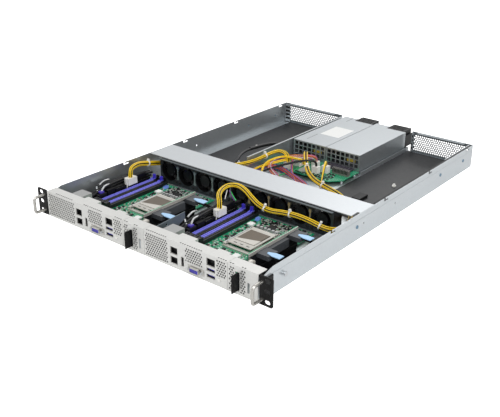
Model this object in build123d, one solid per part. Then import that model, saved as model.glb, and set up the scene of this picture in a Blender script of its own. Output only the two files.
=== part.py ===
from build123d import *
import math
import os

# A one-unit rack server with its top covers off: two server boards side by side at the front,
# a wall of nine fans, and two power supplies that slide out at the rear.
# X runs to the right seen from the front, Y to the rear, Z up, in millimetres.
# While it is built, Y = 0 is the front of the rack ears. The finished pieces are moved so that
# the origin is the middle of the base.

# Rack standard sizes
EAR_REACH = 22.3
EAR_HEIGHT = 43.66
EAR_THICK = 2.0
EAR_FLANGE = 28.0
EAR_CORNER = 3.0
HOLE_INSET = 8.75
HOLE_PITCH = 15.875
SLOT_WIDTH = 6.8
SLOT_LENGTH = 9.5

# Case
CASE_WIDTH = 438.0
CASE_DEPTH = 650.0
SHEET = 1.2
WALL_HEIGHT = 42.8
WALL_FRONT_HEIGHT = 37.0
CHAMFER_START = 8.0
CHAMFER_END = 30.0
EMBOSS_HEIGHT = 33.0
EMBOSS_DEPTH = 0.4
HOOK_WIDTH = 12.0
HOOK_DROP = 5.0
HOOK_LEG = 4.0
HOOK_PLACES = (167.0, 320.0, 471.0, 622.0)
WALL_HOLE_R = 1.8
WALL_HOLE_HEIGHT = 22.8
WALL_HOLE_PLACES = (240.0, 259.0, 357.0, 518.0, 610.0)
STUD_R = 3.6
STUD_NECK_R = 2.2
STUD_REACH = 4.5
STUD_HEAD = 1.4
STUD_PLACE = 53.6

# Pull handles on the ears
HANDLE_BAR_R = 2.4
HANDLE_REACH = 23.0
HANDLE_SPREAD = 26.0
HANDLE_INSET = 5.0
HANDLE_BEND = 5.0

# Server boards: two of the same, one board pitch apart
BOARD_PITCH = 205.0
BOARD_LEFT = -205.0
BOARD_INSET = 8.0
BOARD_WIDTH = 155.0
BOARD_FRONT = 4.0
BOARD_REAR = 208.5
BOARD_THICK = 1.6
BOARD_TOP = 5.6
POST_R = 3.0
POST_INSET = 8.0

# Front panels
PANEL_HEIGHT = 43.0
PANEL_SIDE_GAP = 1.0
PANEL_FLANGE = 19.0
SHELVES = ((58.0, 88.0, 27.0), (132.0, 152.0, 24.0))
SHELF_LIP = 7.0
PANEL_SEAM = 164.85
CENTRE_SEAM = 5.0
SEAM_GAP = 0.5
VENT_PITCH = 4.2
VENT_R = 1.45
REAR_VENT_PITCH = 4.6
REAR_VENT_R = 1.7
GRILLE_GAP = 6.0
PORT_GAP = 0.3

# Latches in the slot covers
LATCH_X = 182.0
LATCH_REACH = 12.0
LATCH_THICK = 1.6
LATCH_LOW = 6.0
LATCH_HIGH = 33.0
LATCH_PIVOT_Y = 5.0
LATCH_PIN_R = 1.5
LATCH_BARREL_R = 2.6
LATCH_SLOT = 7.5
LUG = 2.0
RUNNING = 0.05

# Power buttons
BUTTON_X = 149.9
BUTTON_Z = 10.3
BUTTON_R = 2.4
BUTTON_PROUD = 0.9
BUTTON_TRAVEL = 0.7
STEM_R = 1.3
SWITCH_FRONT = 4.2
SWITCH_DEPTH = 5.0
SWITCH_SIZE = 6.4

# Memory slots
SLOT_FIRST = 27.0
SLOT_STEP = 8.75
SLOT_BODY = 6.4
SLOT_HEIGHT = 6.6
SLOT_FRONT = 72.0
SLOT_REAR = 199.0
SLOT_GROOVE = 1.6
SLOT_GROOVE_DEPTH = 4.0
END_BLOCK = 9.0
END_BLOCK_HEIGHT = 13.0
LATCH_EAR = 0.8
LATCH_EAR_DEPTH = 6.0
LATCH_EAR_HEIGHT = 8.0
CLIP_WIDTH = 4.4
CLIP_DEPTH = 3.6
CLIP_HEIGHT = 14.5
CLIP_FORK = 1.6
CLIP_FORK_LOW = 7.0
CLIP_PIN_R = 0.8
CLIP_PIN_Z = 3.2

# Processor socket
SOCKET_X = 105.5
SOCKET_Y = 123.5
SOCKET_WIDTH = 51.0
SOCKET_DEPTH = 73.0
SOCKET_FRAME_WALL = 3.2
SOCKET_FRAME_HEIGHT = 2.6
PROCESSOR_WIDTH = 42.0
PROCESSOR_DEPTH = 45.0
PROCESSOR_BACK = 4.0
PROCESSOR_BASE = 4.6
SPREADER_GAP = 0.8
PROCESSOR_TOP = 6.4
LOAD_PLATE_WIDTH = 45.0
LOAD_PLATE_DEPTH = 62.0
LOAD_PLATE_THICK = 1.2
LOAD_WINDOW_WIDTH = 38.0
LOAD_WINDOW_DEPTH = 41.0
LOAD_HINGE_R = 1.2
LEVER_R = 1.0
LEVER_GAP = 1.2

# Sheet between the boards
DIVIDER_X = 5.4
DIVIDER_REAR = 86.0

# Riser card beside each board
RISER_X = 167.2
RISER_THICK = 1.6
RISER_FRONT = 40.0
RISER_REAR = 156.0
RISER_TOP = 39.5
RISER_SOCKET_WIDTH = 8.0
RISER_SOCKET_TOP = 14.0
RAIL_HEIGHT = 5.0
EXPANSION_SLOT_WIDTH = 7.5
PLUG_PLACES = (66.0, 139.0)
PLUG_WIDTH = 22.0
PLUG_REACH = 22.0
PLUG_LOW = 29.0
PLUG_HIGH = 36.0
TAB_START = 14.0
TAB_LENGTH = 38.0
TAB_WIDTH = 11.0
TAB_THICK = 1.0

# Board wiring plugs
POWER_PLUG_X = 18.0
POWER_PLUG_Y = 154.0
POWER_PLUG_WIDTH = 11.0
POWER_PLUG_LENGTH = 20.0
POWER_SOCKET_TOP = 15.0
POWER_PLUG_TOP = 27.0

# Fan wall
FAN_COUNT = 9
FAN_SIDE = 40.0
FAN_DEPTH = 28.0
FAN_PITCH = 40.8
FAN_FIRST_X = -166.0
FAN_BOTTOM = 1.4
FAN_BORE_R = 19.0
FAN_TIP_R = 18.2
FAN_HUB_R = 10.4
FAN_BLADES = 7
FAN_BLADE_CHORD = 13.0
FAN_BLADE_THICK = 1.1
FAN_BLADE_ANGLE = 36.0
FAN_PIN_R = 1.5
FAN_HOLE_INSET = 4.0
FAN_HOLE_R = 2.15
SPIDER = 2.4
BRACKET_Y = 228.2
BRACKET_THICK = 1.2
BRACKET_LEFT = -188.5
BRACKET_RIGHT = 183.0
BRACKET_TOP = 41.0
BRACKET_LIP = 4.5
MOUNT_HEAD_R = 2.5
MOUNT_HEAD = 1.6
MOUNT_SHANK_R = 2.0

# Bridge plate over the fans
BRIDGE_FRONT = 231.5
BRIDGE_REAR = 289.5
BRIDGE_FLANGE = 14.0
BRIDGE_LIP = 5.0
BRIDGE_NOTCH = 5.0

# Power supplies and their bay
PSU_WIDTH = 73.5
PSU_HEIGHT = 38.0
PSU_LENGTH = 185.0
PSU_GAP = 1.0
PSU_LEFT = -66.2
PSU_FRONT = 468.7
PSU_WALL = 0.8
PSU_CLEAR = 0.2
PSU_GRID_COLUMNS = 7
PSU_GRID_ROWS = 3
PSU_GRID_CELL = 7.6
PSU_GRID_CELL_HEIGHT = 6.6
PSU_GRID_LOW = 14.5
PSU_LEDGE = 3.6
HOOD_SINK = 13.4
HOOD_LENGTH = 31.2
HOOD_INSET = 4.4
HOOD_WIDTH = 38.5
PSU_LATCH_THICK = 1.2
PSU_LATCH_PIN_R = 0.9
PSU_LATCH_HIGH = 34.0
BAY_FRONT = 333.0
BAY_LEFT = -73.0
BAY_RIGHT = 86.0
BAY_SHEET = 1.0
BAY_WALL_TOP = 40.4
BAY_LIP = 3.0
BAY_LOW_FLANGE = 9.0

# Power distribution board
POWER_BOARD_LEFT = -64.0
POWER_BOARD_RIGHT = 82.7
POWER_BOARD_FRONT = 394.0
POWER_BOARD_REAR = 467.0
POWER_BOARD_TOP = 9.0
POWER_BOARD_CUT = 20.0
LOOM_PLUG_TOP = 22.0

# Floor sheets
FLOOR_SHEET = 0.5
FLOOR_FRONT = 300.0
FLOOR_REAR = 646.0
FLOOR_SIDE = 203.5

# Wiring
LOOM_DIA = 8.0
SIGNAL_DIA = 4.5
BLACK_CABLE_DIA = 5.0

HALF = CASE_WIDTH / 2
PSU_REAR = PSU_FRONT + PSU_LENGTH
HOOD_FRONT = PSU_REAR - HOOD_SINK
HOOD_REACH = HOOD_FRONT + HOOD_LENGTH
MIDDLE_Y = (HOOD_REACH - HANDLE_REACH) / 2
BOARD_BOTTOM = BOARD_TOP - BOARD_THICK
BAY_FLOOR = SHEET + BAY_SHEET
PSU_BOTTOM = BAY_FLOOR + PSU_CLEAR
PSU_TOP = PSU_BOTTOM + PSU_HEIGHT
FAN_Z = FAN_BOTTOM + FAN_SIDE / 2
FAN_FRONT = BRACKET_Y + BRACKET_THICK
FAN_REAR = FAN_FRONT + FAN_DEPTH
FLOOR_SHEET_TOP = SHEET + FLOOR_SHEET
FAN_XS = [FAN_FIRST_X + FAN_PITCH * n for n in range(FAN_COUNT)]
BOARD_ORIGINS = {"left": BOARD_LEFT, "right": BOARD_LEFT + BOARD_PITCH}
PSU_LEFTS = {1: PSU_LEFT, 2: PSU_LEFT + PSU_WIDTH + PSU_GAP}


def block(x0, x1, y0, y1, z0, z1):
    """A box given by its low and high corners."""
    place = Pos((x0 + x1) / 2, (y0 + y1) / 2, (z0 + z1) / 2)
    return place * Box(x1 - x0, y1 - y0, z1 - z0)


def rod_x(radius, x0, x1, y, z):
    return Pos((x0 + x1) / 2, y, z) * Rot(0, 90, 0) * Cylinder(radius, x1 - x0)


def rod_y(radius, y0, y1, x, z):
    return Pos(x, (y0 + y1) / 2, z) * Rot(90, 0, 0) * Cylinder(radius, y1 - y0)


def rod_z(radius, z0, z1, x, y):
    return Pos(x, y, (z0 + z1) / 2) * Cylinder(radius, z1 - z0)


pieces = {}


def keep(name, *shapes):
    """Add finished pieces to a node. Like pieces of both boards share one."""
    place = Location((0, -MIDDLE_Y, 0))
    for shape in shapes:
        pieces.setdefault(name, []).extend(solid.moved(place) for solid in shape.solids())


def ring_xz(x0, x1, z0, z1, y):
    corners = [(x0, y, z0), (x1, y, z0), (x1, y, z1), (x0, y, z1)]
    return Wire.make_polygon(corners, close=True)


def hole_centres(x0, x1, z0, z1, pitch):
    """Centres of staggered rows of round holes that fill a rectangle."""
    row_step = pitch * math.sin(math.radians(60))
    rows = int((z1 - z0) / row_step) + 1
    centres = []
    for row in range(rows):
        start = x0 + (pitch / 2 if row % 2 else 0)
        count = int((x1 - start) / pitch) + 1
        centres.extend((start + pitch * n, z0 + row_step * row) for n in range(count))
    return centres


def pierced_sheet(x0, x1, z0, z1, y, thick, windows, vents, vent_r):
    """A flat upright sheet across the case with square windows and round vents through it."""
    inner = [ring_xz(*window, y) for window in windows]
    for x, z in vents:
        inner.append(Wire.make_circle(vent_r, Plane(origin=(x, y, z), z_dir=(0, 1, 0))))
    return Solid.extrude(Face(ring_xz(x0, x1, z0, z1, y), inner), Vector(0, thick, 0))


def profile_yz(points, x0, x1):
    """A plate across X with the outline given by points in Y and Z."""
    outline = Wire.make_polygon([(x0, y, z) for y, z in points], close=True)
    return Solid.extrude(Face(outline), Vector(x1 - x0, 0, 0))


def profile_xy(points, z0, z1):
    """A flat plate with the outline given by points in X and Y."""
    outline = Wire.make_polygon([(x, y, z0) for x, y in points], close=True)
    return Solid.extrude(Face(outline), Vector(0, 0, z1 - z0))


def tube(name, points, diameter):
    """A round lead of straight runs joined by tangent arcs as large as the runs allow."""
    vectors = [Vector(*point) for point in points]
    radii = []
    for before, here, after in zip(vectors, vectors[1:], vectors[2:]):
        shorter = min((here - before).length, (after - here).length)
        turn = math.radians((here - before).get_angle(after - here))
        radii.append(0.45 * shorter / math.tan(turn / 2))
    path = FilletPolyline(*vectors, radius=radii)
    section = Plane(origin=path @ 0, z_dir=path % 0) * Circle(diameter / 2)
    solid = sweep(section, path=path)
    expected = math.pi * diameter**2 / 4 * path.length
    print(f"{name}: length {path.length:.0f}, tightest {min(radii):.1f}, volume ratio "
          f"{solid.volume / expected:.4f}")
    return solid


# Case base and side walls. Each wall has hooks for the lid cut in its top edge, a shallow joggle
# along its upper quarter and a few holes for rails.
def make_tray():
    base = block(-HALF, HALF, SHEET, CASE_DEPTH, 0, SHEET)
    outline = [
        (SHEET, SHEET),
        (SHEET, WALL_FRONT_HEIGHT - HOOK_DROP),
        (CHAMFER_START, WALL_FRONT_HEIGHT),
        (CHAMFER_END, WALL_HEIGHT),
        (CASE_DEPTH, WALL_HEIGHT),
        (CASE_DEPTH, SHEET),
    ]
    for side in (-1, 1):
        low, high = sorted((side * HALF, side * (HALF - SHEET)))
        wall = profile_yz(outline, low, high)
        for place in HOOK_PLACES:
            top = WALL_HEIGHT
            wall -= block(low, high, place, place + HOOK_LEG, top - HOOK_DROP, top)
            wall -= block(low, high, place, place + HOOK_WIDTH, top - HOOK_DROP,
                          top - HOOK_DROP / 2)
        outer = side * (HALF - EMBOSS_DEPTH)
        near, far = sorted((outer, side * HALF))
        wall -= block(near, far, 0, CASE_DEPTH, EMBOSS_HEIGHT, WALL_HEIGHT)
        for place in WALL_HOLE_PLACES:
            wall -= rod_x(WALL_HOLE_R, low, high, place, WALL_HOLE_HEIGHT)
        base += wall
    keep("chassis_tray", base)

    studs = []
    for side in (-1, 1):
        reach = [side * (HALF + step) for step in (0, STUD_REACH - STUD_HEAD, STUD_REACH)]
        neck = rod_x(STUD_NECK_R, *sorted(reach[:2]), STUD_PLACE, WALL_HOLE_HEIGHT)
        head = rod_x(STUD_R, *sorted(reach[1:]), STUD_PLACE, WALL_HOLE_HEIGHT)
        studs.append(neck + head)
    keep("fasteners", *studs)


# Perforated rear panels either side of the power supplies, with a short top flange.
def make_rear_grilles():
    inner = HALF - SHEET
    spans = ((-inner, BAY_LEFT - PORT_GAP), (BAY_RIGHT + GRILLE_GAP, inner))
    for x0, x1 in spans:
        vents = hole_centres(x0 + 6, x1 - 6, 7, WALL_HEIGHT - 5, REAR_VENT_PITCH)
        sheet = pierced_sheet(x0, x1, SHEET, WALL_HEIGHT, CASE_DEPTH - SHEET, SHEET, [], vents,
                              REAR_VENT_R)
        flange = block(x0 + 14, x1 - 14, CASE_DEPTH - 10, CASE_DEPTH - SHEET,
                       WALL_HEIGHT - SHEET, WALL_HEIGHT)
        keep("rear_grilles", Part() + sheet + flange)


# Black rack ears with slots for the rack screws, and the pull handles on them.
def make_ears():
    middle_z = EAR_HEIGHT / 2
    for name, side in (("left", -1), ("right", 1)):
        tip = HALF + EAR_REACH
        x0, x1 = sorted((side * HALF, side * tip))
        plate = block(x0, x1, 0, EAR_THICK, 0, EAR_HEIGHT)
        outer = plate.edges().filter_by(Axis.Y).sort_by(Axis.X)
        plate = fillet(outer[-2:] if side > 0 else outer[:2], EAR_CORNER)
        for step in (-1, 0, 1):
            z = middle_z + step * HOLE_PITCH
            slot = SlotOverall(SLOT_LENGTH, SLOT_WIDTH)
            cutter = extrude(Plane.XZ * slot, EAR_THICK * 2, both=True)
            plate -= Pos(side * (tip - HOLE_INSET), 0, z) * cutter
        f0, f1 = sorted((side * HALF, side * (HALF + EAR_THICK)))
        flange = block(f0, f1, EAR_THICK, EAR_FLANGE, 2.0, EMBOSS_HEIGHT)
        keep("ears", plate + flange)

        low, high = middle_z - HANDLE_SPREAD / 2, middle_z + HANDLE_SPREAD / 2
        reach = -HANDLE_REACH + HANDLE_BAR_R
        x = side * (HALF + HANDLE_INSET)
        route = FilletPolyline((x, 0, low), (x, reach, low), (x, reach, high), (x, 0, high),
                               radius=HANDLE_BEND)
        section = Plane(origin=route @ 0, z_dir=route % 0) * Circle(HANDLE_BAR_R)
        keep("handles", sweep(section, path=route))


# Port panels: one perforated sheet per board with its network, display and serial-bus openings.
STACK = (58.3, 72.0)
STACK_LOW = (6.6, 17.4)
STACK_HIGH = (21.8, 32.8)
UPRIGHT = (79.0, 84.2)
UPRIGHT_Z = (7.7, 22.6)
DISPLAY = (92.2, 122.4)
DISPLAY_Z = (5.9, 15.6)
SECOND = (127.0, 142.4)
SECOND_NET = (26.0, 37.4)
SERIAL_HIGH = (17.4, 22.4)
SERIAL_LOW = (7.6, 12.8)
TONGUE_THICK = 1.6
TONGUE_SPAN = (SHEET + 4.0, SHEET + 13.0)


def make_io_panels():
    inner = HALF - SHEET - PANEL_SIDE_GAP
    for name, start in BOARD_ORIGINS.items():
        if name == "left":
            x0 = -inner
        else:
            x0 = CENTRE_SEAM + SEAM_GAP / 2
        x1 = start + PANEL_SEAM - SEAM_GAP / 2
        windows = []
        ports = ((STACK, STACK_LOW), (STACK, STACK_HIGH), (UPRIGHT, UPRIGHT_Z),
                 (DISPLAY, DISPLAY_Z), (SECOND, SECOND_NET), (SECOND, SERIAL_HIGH),
                 (SECOND, SERIAL_LOW))
        for (u0, u1), (z0, z1) in ports:
            windows.append((start + u0, start + u1, z0, z1))
        vents = hole_centres(x0 + 4, start + STACK[0] - 5, 5, 40, VENT_PITCH)
        vents += hole_centres(start + DISPLAY[0] - 4, start + DISPLAY[1] - 3, 20, 39,
                              VENT_PITCH)
        vents += hole_centres(start + SECOND[1] + 4, start + PANEL_SEAM - 3, 17, 39, VENT_PITCH)
        sheet = pierced_sheet(x0, x1, 0, PANEL_HEIGHT, 0, SHEET, windows, vents, VENT_R)
        sheet = Part() + sheet
        sheet -= rod_y(BUTTON_R + PORT_GAP, 0, SHEET, start + BUTTON_X, BUTTON_Z)
        low = PANEL_HEIGHT - SHEET
        flange = block(x0, x1, SHEET, PANEL_FLANGE, low, PANEL_HEIGHT)
        for u0, u1, depth in SHELVES:
            flange += block(start + u0, start + u1, PANEL_FLANGE, depth, low, PANEL_HEIGHT)
            flange += block(start + u1 - SHEET, start + u1, PANEL_FLANGE, depth,
                            low - SHELF_LIP, low)
        keep("io_panels", sheet + flange)


# Vented covers beside each port panel. A black sprung latch stands out through each cover and
# turns on a pin between two lugs behind it.
def make_slot_panels():
    for name, start in BOARD_ORIGINS.items():
        x0 = start + PANEL_SEAM + SEAM_GAP / 2
        x1 = CENTRE_SEAM - SEAM_GAP / 2
        if name == "right":
            x1 = HALF - SHEET - PANEL_SIDE_GAP
        x = start + LATCH_X
        windows = [
            (x - LATCH_SLOT / 2, x + LATCH_SLOT / 2, LATCH_LOW - 1, LATCH_HIGH + 1),
            (start + 199.0, start + 203.0, 8.0, 24.0),
        ]
        vents = hole_centres(x0 + 3.5, x - LATCH_SLOT / 2 - 2.5, 5, 40, VENT_PITCH)
        vents += hole_centres(x + LATCH_SLOT / 2 + 2.5, start + 196.0, 5, 40, VENT_PITCH)
        sheet = pierced_sheet(x0, x1, 0, PANEL_HEIGHT, 0, SHEET, windows, vents, VENT_R)
        cover = Part() + sheet
        cover += block(x0, x1, SHEET, PANEL_FLANGE, PANEL_HEIGHT - SHEET, PANEL_HEIGHT)
        rear = LATCH_PIVOT_Y + LATCH_BARREL_R + 1.0
        reach = LATCH_SLOT / 2 + 1.0
        for z0 in (LATCH_LOW - LUG - 1.0, LATCH_HIGH + 1.0):
            lug = block(x - reach, x + reach, SHEET, rear, z0, z0 + LUG)
            lug -= rod_z(LATCH_PIN_R + RUNNING, z0, z0 + LUG, x, LATCH_PIVOT_Y)
            cover += lug
        keep("slot_panels", cover)

        half = LATCH_THICK / 2
        blade = block(x - half, x + half, -LATCH_REACH, LATCH_PIVOT_Y, LATCH_LOW, LATCH_HIGH)
        blade += rod_z(LATCH_BARREL_R, LATCH_LOW, LATCH_HIGH, x, LATCH_PIVOT_Y)
        blade += rod_z(LATCH_PIN_R, LATCH_LOW - LUG - 1.0, LATCH_HIGH + LUG + 1.0, x,
                       LATCH_PIVOT_Y)
        for n in range(5):
            z = LATCH_LOW + 4.0 + n * 4.5
            blade += block(x - half - 0.5, x + half, -LATCH_REACH + 1, -LATCH_REACH + 5, z, z + 2)
        keep(f"slot_latch_{name}", blade)


# Boards with their posts, port shells, power switch and button.
def make_boards():
    for name, start in BOARD_ORIGINS.items():
        left, right = start + BOARD_INSET, start + BOARD_INSET + BOARD_WIDTH
        board = block(left, right, BOARD_FRONT, BOARD_REAR, BOARD_BOTTOM,
                      BOARD_TOP)
        keep("circuit_boards", board)
        for x in (left + POST_INSET, right - POST_INSET):
            for y in (BOARD_FRONT + 40.0, BOARD_REAR - POST_INSET):
                keep("fasteners", rod_z(POST_R, SHEET, BOARD_BOTTOM, x, y))
        make_io_ports(start)
        make_button(name, start)
        make_memory(name, start)
        make_socket(name, start)
        make_board_parts(start)
        make_riser(start)


def port_shell(x0, x1, depth, z0, z1, mouths):
    """A metal port shell on the board behind the panel, open at each mouth."""
    shell = block(x0 - 0.8, x1 + 0.8, SHEET + PORT_GAP, depth, z0, z1)
    for low, high in mouths:
        shell -= block(x0 + PORT_GAP, x1 - PORT_GAP, SHEET + PORT_GAP, SHEET + 13.0,
                       low + PORT_GAP, high - PORT_GAP)
    return shell


def make_io_ports(start):
    low = BOARD_TOP
    stack = port_shell(start + STACK[0], start + STACK[1], 36.0, low, STACK_HIGH[1] + 1,
                       (STACK_LOW, STACK_HIGH))
    cage = block(start + 17.0, start + 44.0, 20.0, 44.0, low, 29.0)
    cage += block(start + 44.0, start + STACK[0] - 2.0, 20.0, 36.0, low, 28.0)
    upright = port_shell(start + UPRIGHT[0], start + UPRIGHT[1], 20.0, low, UPRIGHT_Z[1] + 1,
                         (UPRIGHT_Z,))
    second = port_shell(start + SECOND[0], start + SECOND[1], 24.0, low, SECOND_NET[1] + 1,
                        (SECOND_NET, SERIAL_HIGH, SERIAL_LOW))
    for low_z, high_z in (SERIAL_HIGH, SERIAL_LOW):
        tongue = (low_z + high_z) / 2
        second += block(start + SECOND[0] + 2.0, start + SECOND[1] - 2.0, *TONGUE_SPAN, tongue,
                        tongue + TONGUE_THICK)
    tongue = start + (UPRIGHT[0] + UPRIGHT[1]) / 2
    upright += block(tongue - TONGUE_THICK / 2, tongue + TONGUE_THICK / 2, *TONGUE_SPAN,
                     UPRIGHT_Z[0] + 2.0, UPRIGHT_Z[1] - 2.0)
    keep("io_ports", stack, cage, upright, second)

    middle = start + (DISPLAY[0] + DISPLAY[1]) / 2
    z = (DISPLAY_Z[0] + DISPLAY_Z[1]) / 2
    display = block(start + DISPLAY[0] + PORT_GAP, start + DISPLAY[1] - PORT_GAP, -0.6, 12.0,
                    DISPLAY_Z[0] + PORT_GAP, DISPLAY_Z[1] - PORT_GAP)
    display += block(start + DISPLAY[0] + PORT_GAP, start + DISPLAY[1] - PORT_GAP, BOARD_FRONT,
                     12.0, BOARD_TOP, DISPLAY_Z[1] - PORT_GAP)
    display += block(middle - 8.5, middle + 8.5, -5.5, -0.6, z - 3.6, z + 3.6)
    for side in (-1, 1):
        display += rod_y(2.0, -4.2, -0.6, middle + side * 12.2, z)
    keep("display_ports", display)


def make_button(name, start):
    x = start + BUTTON_X
    shoulder = SWITCH_FRONT - BUTTON_TRAVEL - PORT_GAP
    button = rod_y(BUTTON_R, -BUTTON_PROUD, shoulder, x, BUTTON_Z)
    button += rod_y(STEM_R, shoulder, SWITCH_FRONT + 1.5, x, BUTTON_Z)
    keep(f"power_button_{name}", button)
    half = SWITCH_SIZE / 2
    switch = block(x - half, x + half, SWITCH_FRONT, SWITCH_FRONT + SWITCH_DEPTH, BOARD_TOP,
                   BUTTON_Z + half)
    switch -= rod_y(STEM_R + RUNNING, SWITCH_FRONT, SWITCH_FRONT + 3.0, x, BUTTON_Z)
    keep("board_parts", switch)


# Memory slots: four long grooved sockets with a closed end at the front and a clip that swings
# out at the rear. Blue and black sockets alternate.
def make_memory(name, start):
    slots = []
    clips = {"blue": [], "black": []}
    base = BOARD_TOP
    for n in range(4):
        x = start + SLOT_FIRST + n * SLOT_STEP
        half = SLOT_BODY / 2
        body = block(x - half, x + half, SLOT_FRONT, SLOT_REAR, base, base + SLOT_HEIGHT)
        body += block(x - half, x + half, SLOT_FRONT - END_BLOCK, SLOT_FRONT, base,
                      base + END_BLOCK_HEIGHT)
        ear_inner = half - LATCH_EAR
        rear = SLOT_REAR + LATCH_EAR_DEPTH
        pin_y = SLOT_REAR + LATCH_EAR_DEPTH / 2
        for side in (-1, 1):
            e0, e1 = sorted((x + side * ear_inner, x + side * half))
            body += block(e0, e1, SLOT_REAR - 4, rear, base, base + LATCH_EAR_HEIGHT)
        groove = SLOT_GROOVE / 2
        body -= block(x - groove, x + groove, SLOT_FRONT - END_BLOCK / 2, SLOT_REAR,
                      base + SLOT_HEIGHT - SLOT_GROOVE_DEPTH, base + END_BLOCK_HEIGHT)
        body -= rod_x(CLIP_PIN_R + RUNNING, x - half, x + half, pin_y, base + CLIP_PIN_Z)
        slots.append(body)

        wide = CLIP_WIDTH / 2
        clip = block(x - wide, x + wide, pin_y - CLIP_DEPTH / 2, pin_y + CLIP_DEPTH / 2,
                     base + 0.8, base + CLIP_HEIGHT)
        clip -= block(x - CLIP_FORK / 2, x + CLIP_FORK / 2, pin_y - CLIP_DEPTH / 2,
                      pin_y + CLIP_DEPTH / 2, base + CLIP_FORK_LOW, base + CLIP_HEIGHT)
        clip += rod_x(CLIP_PIN_R, x - half, x + half, pin_y, base + CLIP_PIN_Z)
        clips["black" if n % 2 else "blue"].append(clip)
    keep("memory_slots", *slots)
    keep(f"memory_clips_blue_{name}", *clips["blue"])
    keep(f"memory_clips_black_{name}", *clips["black"])


# Processor socket: a steel frame with a hinged load plate and a wire lever, and the processor.
def make_socket(name, start):
    cx, cy, base = start + SOCKET_X, SOCKET_Y, BOARD_TOP
    half_w, half_d = SOCKET_WIDTH / 2, SOCKET_DEPTH / 2
    top = base + SOCKET_FRAME_HEIGHT
    frame = block(cx - half_w, cx + half_w, cy - half_d, cy + half_d, base, top)
    wall = SOCKET_FRAME_WALL
    frame -= block(cx - half_w + wall, cx + half_w - wall, cy - half_d + 2 * wall,
                   cy + half_d - 2 * wall, base, top)
    hinge_y = cy + half_d - wall
    hinge_z = base + PROCESSOR_TOP - 0.6
    plate_half = LOAD_PLATE_WIDTH / 2
    for side in (-1, 1):
        e0, e1 = sorted((cx + side * (plate_half + 0.3), cx + side * (half_w - 1.0)))
        frame += block(e0, e1, hinge_y - 2.2, hinge_y + 2.2, top, hinge_z + 2.2)
        frame -= rod_x(LOAD_HINGE_R + RUNNING, e0, e1, hinge_y, hinge_z)
    lever_x = cx - half_w + wall / 2
    lever_z = top + LEVER_R + 0.3
    lug_y = cy - half_d + 4.0
    frame += block(lever_x - 1.4, lever_x + 4.0, lug_y - 2.4, lug_y + 2.4, top, lever_z + 2.2)
    frame -= rod_x(LEVER_R + RUNNING, lever_x - 1.4, lever_x + 4.0, lug_y, lever_z)
    keep("socket_frames", frame)

    middle = cy + PROCESSOR_BACK
    wide, deep = PROCESSOR_WIDTH / 2, PROCESSOR_DEPTH / 2
    processor = block(cx - wide, cx + wide, middle - deep, middle + deep, base,
                      base + PROCESSOR_BASE)
    window_x, window_y = LOAD_WINDOW_WIDTH / 2, LOAD_WINDOW_DEPTH / 2
    wide, deep = window_x - SPREADER_GAP, window_y - SPREADER_GAP
    processor += block(cx - wide, cx + wide, middle - deep, middle + deep,
                       base + PROCESSOR_BASE, base + PROCESSOR_TOP + 0.8)
    keep("processors", processor)

    plate_low = base + PROCESSOR_TOP - 1.2
    front = hinge_y - LOAD_PLATE_DEPTH
    plate = block(cx - plate_half, cx + plate_half, front, hinge_y, plate_low,
                  plate_low + LOAD_PLATE_THICK)
    plate -= block(cx - window_x, cx + window_x, middle - window_y, middle + window_y,
                   plate_low, plate_low + LOAD_PLATE_THICK)
    plate += rod_x(LOAD_HINGE_R, cx - half_w + 1.0, cx + half_w - 1.0, hinge_y, hinge_z)
    keep(f"load_plate_{name}", plate)

    stub = LEVER_R + 4.0
    arm_x = lever_x - 1.4 - LEVER_R - 0.4
    lever = rod_x(LEVER_R, arm_x, lever_x + 4.0, lug_y, lever_z)
    lever += rod_y(LEVER_R, lug_y, hinge_y + stub, arm_x, lever_z)
    lever += rod_x(LEVER_R, arm_x - 6.0, arm_x, hinge_y + stub, lever_z)
    keep(f"load_lever_{name}", lever)


# Larger parts on the board: headers left of the memory, the supply socket and plug, large
# chips, and the riser's socket.
def make_board_parts(start):
    base = BOARD_TOP
    x, y = start + POWER_PLUG_X, POWER_PLUG_Y
    w, d = POWER_PLUG_WIDTH / 2, POWER_PLUG_LENGTH / 2
    parts = [
        block(x - w, x + w, y - d, y + d, base, POWER_SOCKET_TOP),
        block(start + 10.0, start + 20.0, 168.0, 196.0, base, base + 9.0),
        block(start + 10.0, start + 20.0, 118.0, 142.0, base, base + 11.0),
        rod_z(5.0, base, base + 11.0, start + 15.0, 108.0),
        block(start + 62.0, start + 72.0, 167.0, 177.0, base, base + 3.0),
        block(start + 60.0, start + 68.0, 186.0, 200.0, base, base + 6.0),
        block(start + 96.0, start + 108.0, 174.0, 186.0, base, base + 3.0),
        block(start + 136.0, start + 150.0, 168.0, 182.0, base, base + 3.0),
        block(start + 113.0, start + 125.0, 67.0, 79.0, base, base + 3.5),
    ]
    keep("board_parts", *parts)
    plug = block(x - w, x + w, y - d, y + d, POWER_SOCKET_TOP, POWER_PLUG_TOP)
    plug += block(x - 2.0, x + 2.0, y - d - 2.0, y - d, POWER_SOCKET_TOP - 4.0, POWER_PLUG_TOP)
    keep("loom_plugs", plug)


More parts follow.
